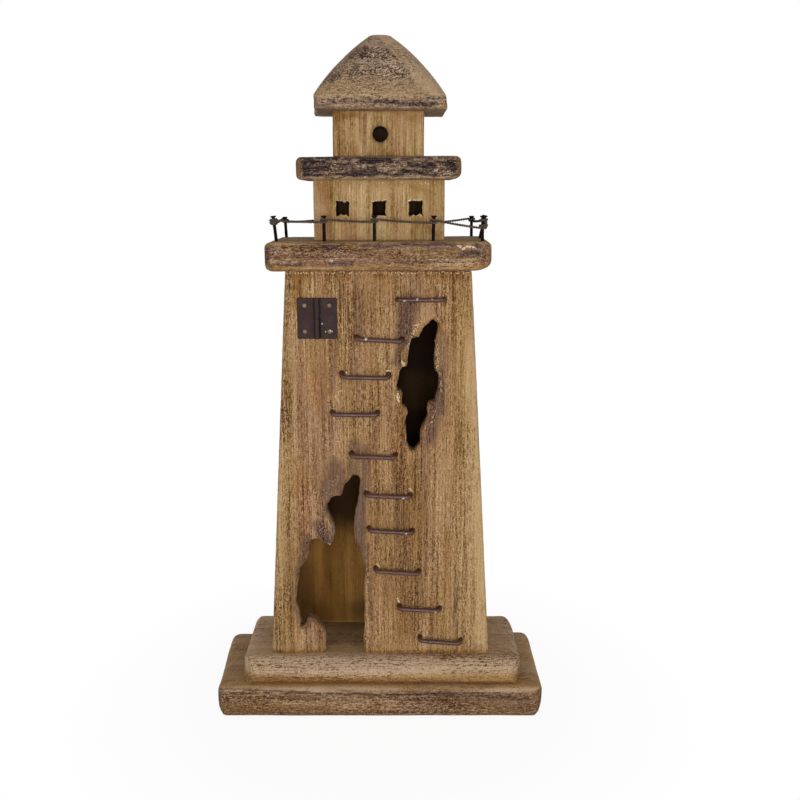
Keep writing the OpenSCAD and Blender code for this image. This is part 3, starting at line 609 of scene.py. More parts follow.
# Marks on the tower's front, as X and Z of both ends, half width, strength
FRONT_BURNS = [
    (19.5, 284, 16, 260, 7, 0.85), (15, 260, 11, 245, 4, 0.75), (22, 298, 21, 288, 4, 0.4),
    (24, 268, 20, 258, 2, 0.5), (41, 262, 41, 240, 4, 0.5), (39.5, 238, 39.5, 212, 4.4, 0.8),
    (37.5, 216, 33.5, 194, 5.5, 0.66), (31, 200, 29, 178, 4, 0.4), (-14, 299, -14, 256, 1.6, 0.6),
    (-11, 292, -11, 262, 1.3, 0.45), (-24.5, 296, -24, 280, 1.6, 0.4), (-20, 284, -21, 256, 1.4, 0.35),
    (-27, 262, -30, 228, 2.4, 0.45), (-35, 262, -37, 214, 3, 0.35), (-37, 226, -31, 196, 3.4, 0.4),
    (-16, 250, -18, 236, 2, 0.35), (-16, 189, -15, 181, 5.5, 0.66), (-9.5, 187, -9.5, 160, 3.6, 0.6),
    (-18, 178, -16, 171, 5, 0.66), (-11, 160, -12, 140, 3.6, 0.75), (-12, 140, -13, 121, 4.4, 0.75),
    (-9.5, 120, -8.5, 100, 2.4, 0.7), (-7, 98, -7, 70, 2, 0.5), (-29, 175, -34, 157, 6.5, 0.75),
    (-25, 171, -26, 158, 4, 0.75), (-35, 152, -36, 142, 2.6, 0.6), (-41, 134, -35, 124, 5.5, 0.8),
    (-48, 126, -52, 109, 3.0, 0.7), (-54, 108, -57, 98, 2.4, 0.55), (-59, 95, -59, 74, 1.8, 0.4),
    (-50, 61, -45, 67, 2.4, 0.45), (-45, 67, -39, 60, 2.4, 0.45), (51.0, 106, 51.5, 92, 0.6, 0.9),
    (52.4, 90, 52.0, 71, 0.7, 0.9), (50.4, 84, 50.7, 60, 0.5, 0.8), (53.6, 101, 54, 78, 0.5, 0.7),
    (52.8, 66, 53, 54, 0.6, 0.8), (47, 96, 47.4, 82, 0.5, 0.6), (31, 188, 31, 100, 3.4, 0.3),
    (15, 140, 14, 128, 6, 0.28), (28, 98, 27, 82, 4, 0.3), (-31, 214, -24, 200, 4, 0.25)]
FRONT_BEVELS = [
    (-33.5, 150, -31, 131, 1.8, 0.7), (-30.8, 131, -33, 119, 2.0, 0.7), (-37, 121, -34, 118, 1.2, 0.5),
    (-50, 110, -55, 102, 1.0, 0.55), (-58.4, 92, -58.6, 86, 0.9, 0.4), (-58.2, 73, -56, 65, 1.2, 0.7),
    (-51.6, 62, -47, 67, 1.3, 0.5), (-13.6, 162, -14, 123, 2.0, 0.8), (-12.8, 121, -9.4, 108, 1.4, 0.6),
    (-36, 161, -34.5, 155, 1.4, 0.5), (16, 191, 24, 189.5, 1.3, 0.8), (37, 222, 39, 214, 1.2, 0.35),
    (34.6, 206, 31.6, 194, 1.4, 0.45)]
FRONT_CHIPS = [
    (21, 262, 24.5, 269, 2.2, 0.62), (19, 254, 20.5, 261, 1.6, 0.6), (12, 225, 12.8, 219, 1.6, 0.8),
    (15.4, 245, 16.4, 242, 1.4, 0.85), (17, 241, 17, 232, 1.2, 0.5), (37.5, 256, 37.5, 240, 1.6, 0.6),
    (39, 238, 40, 225, 1.4, 0.55), (36, 213, 34, 205, 1.6, 0.5), (18, 214, 19, 210, 1.6, 0.5),
    (-21.2, 239, -20.2, 237, 0.9, 0.9), (5, 240, 6.8, 238.8, 0.9, 0.8), (-8.6, 159.5, -8.2, 158, 0.9, 0.8),
    (20, 160, 21.4, 158, 1.0, 0.85), (-1.9, 105.6, -0.2, 103.6, 1.0, 1.0), (12.2, 81, 12.9, 77.6, 0.9, 1.0),
    (-30.5, 214, -30, 213, 0.7, 0.7), (-54, 63, -53.6, 60, 0.8, 0.8), (-8.5, 109, -8.3, 72, 1.0, 0.55),
    (-9.6, 72, -9.8, 44, 0.8, 0.5), (-55.6, 96, -56.4, 84, 1.0, 0.4), (-34, 120.5, -31, 119.6, 1.0, 0.7),
    (-29, 166, -36, 152, 3.5, 0.36), (-44, 138, -34, 126, 4, 0.38), (-27, 214, -33, 252, 3, 0.34),
    (-20, 190, -12, 172, 4, 0.34), (41.5, 78, 43, 74, 0.9, 0.6), (22, 190, 26, 187, 1.2, 0.4)]
FRONT_STAINS = [
    (-51, 305, -51, 282, 4, 0.7), (22, 304, 56, 303, 5, 0.8), (34, 302, 36, 284, 1.6, 0.6),
    (16, 302, 17, 290, 1.2, 0.5), (46, 303, 47, 288, 1.6, 0.5), (-35, 303, -34, 290, 2, 0.45),
    (-60, 302, -20, 303, 3, 0.4), (24, 300, 32, 288, 3, 0.45), (22, 182, 23, 152, 1.4, 0.5),
    (-54, 182, -56, 50, 1.6, 0.35), (-59, 120, -60, 60, 1.5, 0.4), (40, 270, 44, 258, 2.5, 0.3),
    (56, 300, 60, 260, 3, 0.35)]
FRONT_DARKS = [
    (23, 168, 24, 62, 12, 1.0), (6, 158, 6, 78, 6, 0.9), (-27, 250, -27, 205, 9, 0.4),
    (-60, 292, -61, 258, 4, 0.6), (40, 120, 40, 70, 6, 0.5), (-50, 120, -55, 90, 5, 0.4),
    (14, 60, 22, 52, 6, 0.3)]
FRONT_LIGHTS = [
    (7, 290, 6, 192, 6, 0.9), (62, 262, 64, 205, 5, 1.0), (64, 205, 68, 52, 6, 1.8),
    (52, 292, 60, 215, 6, 0.6), (-45, 152, -44, 136, 6, 0.8), (-14, 300, 14, 300, 8, 0.7),
    (-8, 60, -2, 46, 6, 1.0), (6, 48, 40, 46, 5, 0.5), (-48, 52, -42, 44, 5, 0.7)]
# The tower's swelling sideways, its half width at the foot, and how fast that goes down with the height
TOWER_SWELL = 1.006
FOOT_HALF = 74.7
SIDE_SLOPE = 0.0597


def make_tower_front():
    s = wooden("tower_front", "front_board", 0.8, "tower", 11)
    x, y, z = s.rest.T
    face, foot, head = s.low[1], s.low[2], s.high[2]
    s.wear(True, wave=0.1, groove=0.15, edge=0.3)
    s.reach_into(JOINT_REACH)
    s.px *= TOWER_SWELL
    on_front = ease(-s.normals[:, 1], 0.25, 0.6) * (y < face + 3.4)
    # Knife cuts round the two openings: small facets, and a ragged rim
    half = FOOT_HALF - SIDE_SLOPE * (z - foot)
    inside = ease(np.abs(x), half - 4, half - 7) * (z > foot + 2) * (z < head - 4)
    cut = (1 - s.facing(1, -1)) * (y < face + 9) * inside
    s.push(0.4 * cut * s.waves((4, 30, 7)))
    s.push(0.4 * cut * s.waves((1.9, 30, 2.6), shift=19.0))
    rim = s.convex * (y < face + 3.4) * inside
    s.push(-0.5 * rim * s.patches((3, 3, 4), 0.0, 0.8, 2))
    low_edge = most((x > -20) * ease(z, 100, 94), ease(z, 84, 70))
    bevel = most(cut * (x < 5) * (y < face + 3.5) * (0.45 - 0.35 * low_edge),
                 s.strokes(FRONT_BEVELS, 0.5) * (y < face + 4.5))
    # Chipped and stained lines under the deck and at the foot
    top_line, foot_line = ease(z, head - 2.9, head - 2.1), ease(z, foot + 2.8, foot + 0.8)
    under_deck = ease(z, head - 8, head - 3) * (0.1 + 0.7 * s.patches((6, 6, 14), -0.1, 0.5))
    chip = most(1.25 * s.strokes(FRONT_CHIPS, 0.4) * (y < face + 4), 0.6 * rim,
                most(0.7 * top_line, 0.45 * foot_line) * on_front)
    middle = ease(np.abs(x - 6), 26, 10)
    stain = most(s.strokes(FRONT_STAINS, 1.6), 0.8 * foot_line, under_deck, 0.16 * middle) * on_front
    gold = most(0.55 * ease(x, 38, 52), 0.55 * ease(x, -50, -60), 0.25 * middle,
                0.6 * ease(z, foot + 9, foot + 2)) * on_front
    # Broad lighter and darker stretches
    side = ease(np.abs(x), half - 8, half - 1.5) * on_front
    broad = (s.strokes(FRONT_LIGHTS, 2.5) - s.strokes(FRONT_DARKS, 2.5)) * on_front
    tone = 0.49 + 0.05 * ease(x, 0, 50) + 0.07 * s.waves((30, 30, 60)) + 0.06 * side + 0.19 * broad
    # Painted shading deep in the two openings, less on the ledges that face up
    shade = ease(y, face + 3.5, face + 9) * 0.7 * (1 - 0.7 * s.facing(2, 1))
    s.done(burn=s.strokes(FRONT_BURNS, 0.9) * (y < face + 8), chip=chip, stain=stain, tone=tone,
           bevel=bevel, wear=0.35 * side, shade=shade, gold=gold)


def make_tower_back():
    s = wooden("tower_back", "back_board", 1.3, "inner", 12)
    z = s.rest[:, 2]
    s.wear(True, wave=0.1, groove=0.15)
    inner, outer = s.facing(1, -1), s.facing(1, 1)
    # Painted shading on the upper inside and in a corner, less of it where a painted pool of light lies
    # behind the window, and a dark spot behind the doorway
    dark = ease(z + 5 * s.waves((20, 20, 20)), 102, 128)
    dark *= (0.84 + 0.16 * ease(z, 150, 190)) * (1 + 0.05 * ease(z, 128, 150))
    window_light = s.oval(26, 217, 26, 18, 1.2, 0.4)
    shade = most(dark * (0.99 - 0.13 * window_light), 0.55 * s.oval(-58, 72, 14, 40, 1.0, 0.3),
                 0.4 * s.oval(-16, 53, 12, 9, 1.1, 0.2))
    foot = ease(z, 43.6, 42.4)
    s.done(shade=inner * shade * (1 - foot), wear=0.5 * s.convex,
           tone=0.5 + 0.35 * foot * inner + 0.22 * outer)


def make_tower_sides():
    for side, seed in (("left", 13), ("right", 14)):
        s = wooden("tower_side_" + side, "side_board_" + side, 1.3, "tower", seed)
        s.wear(True, wave=0.1, groove=0.24)
        s.reach_into(JOINT_REACH)
        s.px *= TOWER_SWELL
        s.done(burn=0.5 * s.patches((14, 14, 40), 0.25, 0.7, 2), wear=0.5 * s.convex,
               wash=0.4 * s.patches((20, 20, 50), 0.0, 0.6, 2), tone=0.5 + 0.08 * s.waves((24, 24, 60)))


GALLERY_BURNS = [
    (-32, 319, -26, 318.6, 1.8, 0.85), (-8, 320, 14, 320.4, 1.8, 0.7), (14, 320.6, 47, 320.6, 1.6, 0.85),
    (32, 318.2, 40, 318.2, 1.2, 0.6), (-29, 308.8, -17, 309, 2.2, 0.7), (-66, 317, -62, 316, 2.2, 0.65),
    (-62, 308.2, -47, 307.8, 1.0, 0.7), (61.5, 320, 63.5, 319, 2, 0.8),
    (51.6, 314.3, 62.5, 315.5, 2.2, 0.85), (-70, 318, -68, 308, 1.6, 0.5), (66, 318, 66.6, 312, 1.6, 0.5)]
GALLERY_CHIPS = [
    (49, 319.6, 51.4, 319.2, 0.9, 0.95), (52.2, 317.6, 56, 320, 0.8, 0.95),
    (56, 319.4, 60.7, 318.2, 1.0, 0.9), (58.5, 317.2, 62, 316.4, 0.7, 0.65),
    (43.4, 319.4, 46, 318.4, 0.8, 0.65), (41.5, 317, 43, 316.8, 0.7, 0.8), (-66, 313, -62, 319, 2.2, 0.45),
    (-66, 311, -60, 308.6, 1.6, 0.45), (-30, 311, -28, 310.6, 0.8, 0.8), (-40, 305.6, -33, 306, 0.7, 0.6),
    (0, 307, 8, 307.5, 0.8, 0.5), (20, 305.6, 34, 306, 0.8, 0.5)]
GALLERY_PALES = [
    (-62, 318, -64, 311, 4, 0.6), (-58, 315, -56, 311, 5, 0.45), (36, 308, 57, 308.5, 2.6, 0.8),
    (4, 306.5, 36, 306.5, 1.4, 0.5), (-46, 305.4, -10, 305.4, 1.0, 0.5)]


def make_gallery():
    s = wooden("gallery_deck", "gallery_board", 1.0, "deck", 21)
    x, _, z = s.rest.T
    s.soften(6)
    s.keep_foot(1.2, 3.0)
    s.round_off([(1, -1, 13, 7.5), (1, 1, 5, 5), (-1, -1, 6, 6), (-1, 1, 7, 4.5)])
    s.pz += 0.004 * x
    s.wear(False, wave=0.3, groove=0.14, edge=0.5)
    front, top = s.facing(1, -1), s.facing(2, 1)
    streaks = s.strokes(GALLERY_BURNS, 0.7) * front
    pale = s.strokes(GALLERY_PALES, 1.0) * front
    # Painted light on the top: its tone is raised. The top is also golden
    s.done(burn=most(streaks, 0.34 * s.patches((26, 8, 5), 0.1, 0.7)), wash=0.7 * pale,
           chip=1.1 * s.strokes(GALLERY_CHIPS, 0.4) * front, shade=0.3 * ease(streaks, 0.6, 1.0),
           tone=0.48 + 0.16 * pale + 0.08 * s.waves((20, 20, 8)) + 0.3 * top, gold=0.5 * top,
           stain=0.8 * ease(z, s.low[2] + 5.5, s.low[2] + 2) * front, wear=0.3 * s.convex)


# The small windows: X and how ragged each is, height above the block's foot, half width and half height
PANES = [(-22.85, 1.2), (0, 0.8), (22.85, 1.6)]
PANE_RISE = 19.6
PANE_HALF_X = 4
PANE_HALF_Z = 4.35


def splintered_panes(s):
    """Ragged top and foot, and pointed corners, at the three panes' front edges."""
    x, y, z = s.rest.T
    depth = ease(y, s.low[1] + 3.0, s.low[1] + 0.2)
    above = z - s.low[2] - PANE_RISE
    line = s.rest * (1, 0, 0)
    for place, tooth in PANES:
        across = np.abs(x - place)
        inside = ease(across, PANE_HALF_X + 1.2, PANE_HALF_X - 0.2)
        for side in (1, -1):
            past = above - side * PANE_HALF_Z
            teeth = ease(s.noise.at(line + (0, 30 * side, 7), (1.1, 9, 9), 2), 0.0, 0.5)
            s.pz -= side * 0.85 * tooth * teeth * ease(np.abs(past), 1.1, 0.3) * inside * depth
            corner = ease(np.hypot(across - PANE_HALF_X, past), 1.6, 0.4) * depth
            s.pz += side * 0.6 * corner
            s.px += np.sign(x - place) * 0.6 * corner
        rim = ease(np.abs(most(across - PANE_HALF_X, np.abs(above) - PANE_HALF_Z)), 1.3, 0.2) * depth
        s.px += 0.5 * rim * s.waves((2.2, 9, 2.2), shift=11.0)
        s.pz += 0.5 * rim * s.waves((2.2, 9, 2.2), shift=83.0)


ROOM_STAINS = [
    (-37, 357, -30, 350, 4, 0.5), (22, 357, 30, 350, 3, 0.45), (-39, 330, -36, 326, 3, 0.5),
    (24, 340, 22, 326, 2.5, 0.4), (30, 330, 38, 325, 2.5, 0.45)]
ROOM_CHIPS = [
    (-36, 357.8, 36, 357.8, 0.8, 0.45), (0, 357.6, 10, 357.4, 0.8, 0.6), (25, 357.5, 31, 357.2, 0.8, 0.6),
    (-26.5, 346.7, -19, 346.7, 0.9, 0.9), (-26, 337.8, -20, 337.7, 0.8, 0.8),
    (-4, 337.6, 3.6, 337.7, 0.7, 0.75), (-3.6, 346.8, 3.6, 346.7, 0.8, 0.75),
    (19, 346.9, 26, 346.9, 1.0, 0.9), (20, 337.6, 26, 337.5, 0.8, 0.8), (17.5, 350, 17.7, 344, 0.6, 0.5)]


def make_watch_room():
    s = wooden("watch_room", "watch_room_block", 0.48, "room", 22)
    x, y, z = s.rest.T
    front, foot, head = s.low[1], s.low[2], s.high[2]
    s.wear(True, wave=0.12, groove=0.1, edge=0.3)
    s.reach_into(JOINT_REACH, JOINT_REACH)
    s.px += 0.6
    splintered_panes(s)
    face = s.facing(1, -1) * (y < front + 1.5)
    hole = (np.abs(x) < 28.2) * (z > foot + 14) * (z < foot + 25.4) * (y < s.high[1] - 3)
    # Painted shading inside the three panes
    s.done(shade=0.93 * hole * ease(y, front + 0.4, front + 2.6), wear=0.3 * s.convex,
           chip=s.strokes(ROOM_CHIPS, 0.3) * (y < front + 2.5),
           stain=most(s.strokes(ROOM_STAINS, 1.6), 0.35 * ease(z, head - 6, head - 1)) * face,
           tone=0.61 + 0.17 * s.waves((22, 22, 50)) - 0.12 * ease(x, -33, -40) * (z > 345))


EAVE_BURNS = [
    (-46, 370.9, -33, 370.6, 1.5, 1.0), (-46, 367.4, -30, 367, 1.5, 1.0), (-46, 365, -37, 365.2, 1.2, 0.9),
    (-46, 362.8, -36, 362.6, 1.5, 1.0), (-45, 371, -45, 362, 2.2, 0.9), (-10, 371, 7, 371, 2.2, 1.0),
    (-25, 368.4, -16, 368, 1.8, 0.8), (-7, 367.2, -1, 367, 1.6, 0.8), (19, 368.7, 34, 367.7, 2.0, 0.95),
    (15, 372.4, 21, 372.2, 1.2, 0.8), (43, 369.5, 46, 366.5, 3.4, 1.0), (-25, 363, -15.5, 363, 1.6, 0.95),
    (-15, 363.2, -2, 363.6, 2.7, 1.0), (-2, 363.2, 15, 362.8, 1.5, 1.0), (15, 364.5, 26, 363.7, 2.2, 1.0),
    (26, 363, 36, 362.6, 1.4, 1.0), (-40, 362.4, -25, 362, 1.2, 0.6), (36, 370, 42, 371, 1.6, 0.6)]


def make_eave():
    s = wooden("eave_deck", "eave_board", 0.8, "eave", 23)
    x, _, z = s.rest.T
    s.round_off([(1, -1, 6, 5)])
    s.pz += 0.006 * x
    s.wear(False, wave=0.3, groove=0.15, edge=0.5)
    s.px *= 1.007
    s.px += 0.4
    front = s.facing(1, -1)
    ends = ease(np.abs(x), 46.5, 48.5)
    bands = s.strokes(EAVE_BURNS, 0.6)
    mottled = (0.60 + 0.24 * s.waves((9, 6, 3), 3)) * ease(z, s.low[2] + 0.4, s.low[2] + 2.0)
    elsewhere = 0.5 * s.patches((20, 9, 6), -0.3, 0.5)
    s.done(burn=most(bands, mottled) * front * (1 - 0.8 * ends) + (1 - front) * elsewhere,
           wash=0.4 * front, smooth=0.8 * ends, gold=0.6 * ends, wear=0.25 * s.convex,
           tone=0.52 - 0.10 * ends + 0.08 * s.waves((12, 9, 5)),
           shade=0.7 * ease(bands, 0.5, 0.95) * front,
           chip=0.6 * front * (1 - ends) * (1 - 0.6 * bands) * s.patches((4, 6, 1.8), -0.1, 0.5))


LANTERN_STAINS = [
    (-25, 399, -8, 398, 2.4, 0.7), (-24, 396, -23, 376, 2.4, 0.5), (-8, 396, -9, 388, 2, 0.4),
    (14, 399, 24, 397, 2.4, 0.45), (-16, 380, -15, 375, 2.5, 0.4), (-10, 398, -9, 378, 1.2, 0.3)]
LANTERN_CHIPS = [(5, 399, 13, 398.6, 1.0, 0.6), (7, 394, 11, 396, 2, 0.34), (-8, 399.4, 0, 399.6, 0.7, 0.5)]
LANTERN_LIGHTS = [(8, 399, 9, 379, 4.5, 1.0), (13, 398, 13, 384, 3, 0.7)]
# The porthole's X, and its height above the block's foot
PORTHOLE_X = 1.1
PORTHOLE_RISE = 13.3


def make_lantern_room():
    s = wooden("lantern_room", "lantern_room_block", 0.7, "room", 24)
    x, y, z = s.rest.T
    front, head = s.low[1], s.high[2]
    s.wear(True, wave=0.12, groove=0.1, edge=0.3)
    s.reach_into(JOINT_REACH, JOINT_REACH)
    s.px *= 1.008
    s.px += 0.3
    face = s.facing(1, -1) * (y < front + 1.5)
    reach = np.hypot(x - PORTHOLE_X, z - s.low[2] - PORTHOLE_RISE)
    hole = (reach < 5.6) * (y < s.high[1] - 3)
    # Painted shading inside the porthole
    s.done(shade=0.92 * hole * ease(y, front + 0.6, front + 3.4), burn=0.5 * ease(reach, 7.6, 5.0) * face,
           stain=most(s.strokes(LANTERN_STAINS, 1.4), 0.5 * ease(z, head - 3, head)) * face,
           chip=s.strokes(LANTERN_CHIPS, 0.5) * face, wear=0.3 * s.convex,
           tone=0.47 + 0.14 * ease(x, 2, 20) + 0.10 * s.waves((14, 14, 30))
           + 0.28 * s.strokes(LANTERN_LIGHTS, 1.4))


ROOF_BURNS = [
    (-5.3, 444.3, 2.8, 444.3, 1.0, 0.7), (6.5, 440.8, 13.5, 436.1, 1.8, 0.85),
    (12.9, 434.1, 15.4, 430.7, 1.7, 0.8), (15.4, 430.7, 19.8, 422.3, 1.8, 0.8),
    (19.8, 422.3, 22.5, 416.5, 1.4, 0.6), (-7, 438, -9.7, 432.7, 3, 0.85),
    (-12, 427, -16.6, 421.7, 2.4, 0.9), (-16.6, 421.7, -9.7, 422, 1.8, 0.85),
    (-23.5, 421.8, -26.7, 418.5, 2.6, 0.75), (-26.7, 418.5, -31, 412.4, 2.2, 0.7),
    (-12, 438, -22, 426, 2.2, 0.7), (-1, 404.9, 6, 405.1, 2.0, 1.0), (6, 405, 16, 404.7, 1.6, 1.0),
    (16, 404.5, 35, 403.9, 1.7, 1.0), (-10, 407.4, -3.5, 407.4, 1.4, 0.8),
    (-30, 405.6, -15, 405.4, 1.3, 0.7), (28, 411.2, 32, 411, 1.4, 0.7), (30, 407.6, 37, 407.4, 1.6, 0.7),
    (-36, 403.4, -30, 403, 1.4, 0.6), (2, 402, 15, 401.8, 1.2, 0.6), (-2, 430.5, 14, 432, 2.2, 0.55),
    (-27, 405.3, -1, 405.2, 0.9, 0.8), (-20, 407.2, -9, 406.8, 0.8, 0.6), (18, 406.6, 30, 406.4, 0.8, 0.65),
    (-6, 426, 6, 427, 2.2, 0.5), (0, 436, 8, 438, 2.2, 0.55), (-8, 418, 8, 418.6, 2.2, 0.4)]
ROOF_HIPS = [
    (-9.2, 442.6, -20, 431.8, 0.8, 0.5), (-20, 431.8, -29.4, 421.6, 0.8, 0.5),
    (-29.4, 421.6, -35.8, 412.4, 0.7, 0.5), (10.6, 442.6, 22.2, 431.8, 0.7, 0.5),
    (22.2, 431.8, 32.4, 420.4, 0.7, 0.55), (32.4, 420.4, 38.6, 411.8, 0.7, 0.45)]
# X of the roof's middle, and the height at which the hips would meet
ROOF_MIDDLE = 1.2
HIPS_MEET = 443


def make_roof():
    s = wooden("roof", "roof_block", 0.6, "roof", 25)
    x, y, z = s.rest.T
    s.wear(False, wave=0.35, groove=0.12, edge=0.25)
    s.fill_corner(-1, -1, 3, 4)
    s.fill_corner(1, -1, 4, 5)
    s.soften(3)
    # A wider and lower crown, narrower faces, and a rim that is skewed at its left end
    crown = ease(z, s.high[2] - 5, s.high[2] - 1)
    off_middle = x - ROOF_MIDDLE
    s.px += 0.32 * crown * off_middle - 0.008 * off_middle * ease(z, 404, 412) + 0.2 * ease(z, 411, 405)
    s.px -= 3.6 * ease(y, -15, 30) * ease(x, -15, -38) * ease(z, 412, 408)
    s.px += 0.7 * ease(y, 10, -20) * ease(x, -34, -39) * ease(z, 413, 406)
    s.pz -= 1.3 * crown
    # Parts of the front: the scratched one between the hips, the smooth one, the right facet, the lip
    front = ease(-s.normals[:, 1], 0.2, 0.5)
    below = HIPS_MEET - z
    upper = ease(z, 414, 421) * ease(z, 444, 440)
    scratched = upper * front * ease(np.abs(x - 1.5), 0.95 * below + 3, 0.62 * below + 1)
    smooth_part = ease(z, 420, 415) * ease(z, 406, 409)
    facet = ease(x, 0.75 * below + 2, 0.85 * below + 4) * (z > 409)
    lip = ease(z, 403.6, 402.2)
    turned = np.stack([0.9 * x + 0.44 * z, y, 0.9 * z - 0.44 * x], 1)
    scratches = ease(s.noise.at(turned, (5, 5, 1.7), 2), -0.1, 0.5)
    light_scratches = ease(s.noise.at(turned + 40.0, (3.4, 3.4, 1.1), 2), 0.05, 0.35)
    streaks = s.strokes(ROOF_BURNS, 0.6) * front
    burn = most(streaks, scratched * (0.2 + 0.6 * scratches),
                0.5 * s.patches((24, 9, 2.2), 0.1, 0.6) * ease(z, 420, 414),
                (1 - front) * 0.45 * s.patches((16, 16, 5), -0.1, 0.6))
    s.done(burn=most(burn * (1 - 0.7 * facet), s.strokes(ROOF_HIPS, 0.4) * (y < 20)),
           smooth=most(0.55 * smooth_part, 0.4 * facet, 0.3 * lip), wash=0.3 + 0.2 * upper,
           wear=most(0.25 * s.convex, 0.4 * smooth_part),
           tone=0.55 + 0.24 * facet + 0.04 * lip + 0.05 * smooth_part + 0.08 * s.waves((18, 18, 9)),
           gold=most(0.7 * facet, 0.6 * lip, 0.8 * smooth_part), shade=0.5 * ease(streaks, 0.6, 1.0),
           chip=0.95 * scratched * light_scratches)


BASE_CRACKS = [
    (-108, 22.4, -40, 19.4, 0.9, 0.85), (-40, 19.4, 50, 18.4, 0.9, 0.95), (50, 18.4, 100, 15.4, 0.9, 0.9),
    (-30, 21.4, 96, 19.4, 0.6, 0.6)]
# How far the upper board stands to the right
UPPER_SHIFT = 1.3


def round_base(s, upper):
    """Roundings and skews of one base board."""
    x, y, _ = s.rest.T
    s.soften(8)
    s.keep_foot(1.5, 5)
    if upper:
        s.round_off([(-1, 1, 9, 9)], FROM_SIDE)
        s.round_off([(1, 1, 5, 7), (-1, 1, 5, 7)])
        s.round_off([(1, 1, 12, 28), (-1, 1, 12, 14), (1, -1, 11, 17), (-1, -1, 12, 16)], FROM_ABOVE)
        s.reach_into(0.8)
    else:
        s.round_off([(-1, 1, 5, 5)], FROM_SIDE)
        s.round_off([(1, -1, 12, 16), (-1, -1, 11, 13)])
        s.round_off([(1, -1, 9, 14), (-1, -1, 8, 11)], FROM_ABOVE)
        s.px *= 1.009
        s.px -= 2.6 * ease(x, 0, -100) * ease(y, -30, 43)
        s.pz += 1.2 * ease(x, 60, 108) * ease(y, 10, 40)


def make_base(s, upper):
    """Looks of one base board. The value upper is 1 for the upper board and 0 for the lower one."""
    x, y, z = s.rest.T
    lower = 1 - upper
    round_base(s, upper)
    s.wear(False, wave=0.35, groove=0.15, edge=0.4)
    up = (z - s.low[2]) / (s.high[2] - s.low[2])
    s.py -= 2.2 * upper * (y < 0) * ease(up, 0.9, 0.2)
    front, top = s.facing(1, -1), s.facing(2, 1)
    # The upper board has a cream rounding and a golden foot, and the lower one dark cracks
    across = np.abs(x - UPPER_SHIFT)
    bent = ease(y, s.low[1] + 13, s.low[1] + 6) * ease(up, 0.34, 0.6)
    cream = upper * most(bent, 0.7 * ease(across, 84, 91) * ease(up, 0.3, 0.6))
    flat = upper * top * (1 - cream)
    foot = upper * ease(up, 0.48, 0.25) * front
    # Painted shading on the lower board's top round the upper board's foot
    contact_shade = lower * top * ease(most(across - 96, np.abs(y) - 37), 5, 0.5)
    crack = lower * front * s.strokes(BASE_CRACKS, 0.5)
    under_tower = upper * top * (np.abs(x) < 58) * (np.abs(y) < 24)
    patch = s.patches((26, 9, 5), -0.5, 0.4)
    lines = s.patches((16, 9, 1.8), 0.25, 0.7) * ease(up, 0.35, 0.7)
    # Painted light: the tops, and the floor inside the tower, are made lighter in tone
    tone = 0.50 + 0.20 * cream + 0.46 * flat - 0.1 * foot + 0.3 * under_tower + 0.02 * upper * front
    tone += lower * (0.5 * top - 0.08 * front) + 0.08 * s.waves((30, 30, 9))
    s.done(tone=tone, wash=most(cream * (0.45 + 0.55 * patch), 0.55 * lower * front * patch),
           burn=most(0.5 * lines, 0.3 * s.patches((34, 12, 5), 0.1, 0.7), crack),
           stain=most(0.85 * foot, 0.8 * contact_shade, 0.45 * flat, 0.2 * front, 0.4 * lower * top),
           shade=0.5 * ease(crack, 0.4, 0.8), wear=0.25 * s.convex)


def make_bases():
    make_base(wooden("base_board_lower", "lower_board", 1.2, "lower_base", 31), 0)
    make_base(wooden("base_board_upper", "upper_board", 1.0, "upper_base", 32), 1)


# Metal pieces
DECK_TOP = 322.6
HINGE_X = -39.2
POST_RISES = {7: 0.965, 8: 0.94, 9: 0.94, 10: 0.93, 11: 0.92}


def dented(node, name, voxel, look, seed, dent, chips=(), rise=1.0):
    s = wooden(node, name, voxel, look, seed)
    x, _, z = s.rest.T
    s.push(dent * s.waves((3.4, 3.4, 3.4), 3))
    s.pz += (rise - 1) * (s.pz - DECK_TOP)
    chip = most(np.zeros(len(x)), *[ease(np.hypot(x - chip_x, z - chip_z), reach, 0.3 * reach)
                                    for chip_x, chip_z, reach in chips])
    barrel = np.abs(x - HINGE_X)
    # On the hinge: a painted highlight along the barrel, laid on as wear, and painted shadow in two lines
    # beside it
    painted_barrel_highlight = ease(barrel, 1.0, 0.3) * (look == "hinge")
    shade = 0.85 * ease(np.abs(barrel - 1.85), 0.8, 0.25) * (look == "hinge")
    s.done(wear=most(s.convex, painted_barrel_highlight), chip=chip, shade=shade)


RUNG_CHIPS = {
    1: [(16.5, 285.2, 1.2), (24.5, 286.2, 1.5), (34, 286, 0.8)], 2: [(-8, 260.9, 1.8)],
    6: [(16, 154.4, 1.5)], 7: [(17.8, 130, 1.2)], 9: [(38, 73.6, 1.3)]}
HINGE_CHIPS = [(-36, 270, 0.8), (-33.8, 265, 0.8), (-31, 263.6, 1.0), (-29.6, 265, 0.9)]
HINGE_NAIL_CHIPS = [(-30.8, 265.8, 1.2)]


def make_metal():
    for index in range(1, 11):
        node = f"rung_{index:02d}"
        dented(node, node + "_wire", 0.42, "rung", 40 + index, 0.1, RUNG_CHIPS.get(index, ()))
    for index in range(1, 12):
        node = f"rail_post_{index:02d}"
        dented(node, node + "_nail", 0.36, "post", 60 + index, 0.06,
               rise=POST_RISES.get(index, 1.07))
    dented("hinge_leaf_left", "hinge_left_plate", 0.4, "hinge", 81, 0.06)
    dented("hinge_leaf_right", "hinge_right_plate", 0.4, "hinge", 82, 0.06, HINGE_CHIPS)
    dented("hinge_nails", "hinge_nail_heads", 0.3, "hinge_nail", 83, 0.06, HINGE_NAIL_CHIPS)
    wear_look(nodes["hinge_pin"], "hinge")
    for node in ("base_screws", "back_brads"):
        wear_look(nodes[node], "steel")
    for node in ("gallery_dowels", "watch_room_dowels", "eave_dowels", "lantern_dowels", "roof_dowel"):
        wear_look(nodes[node], "dowel")


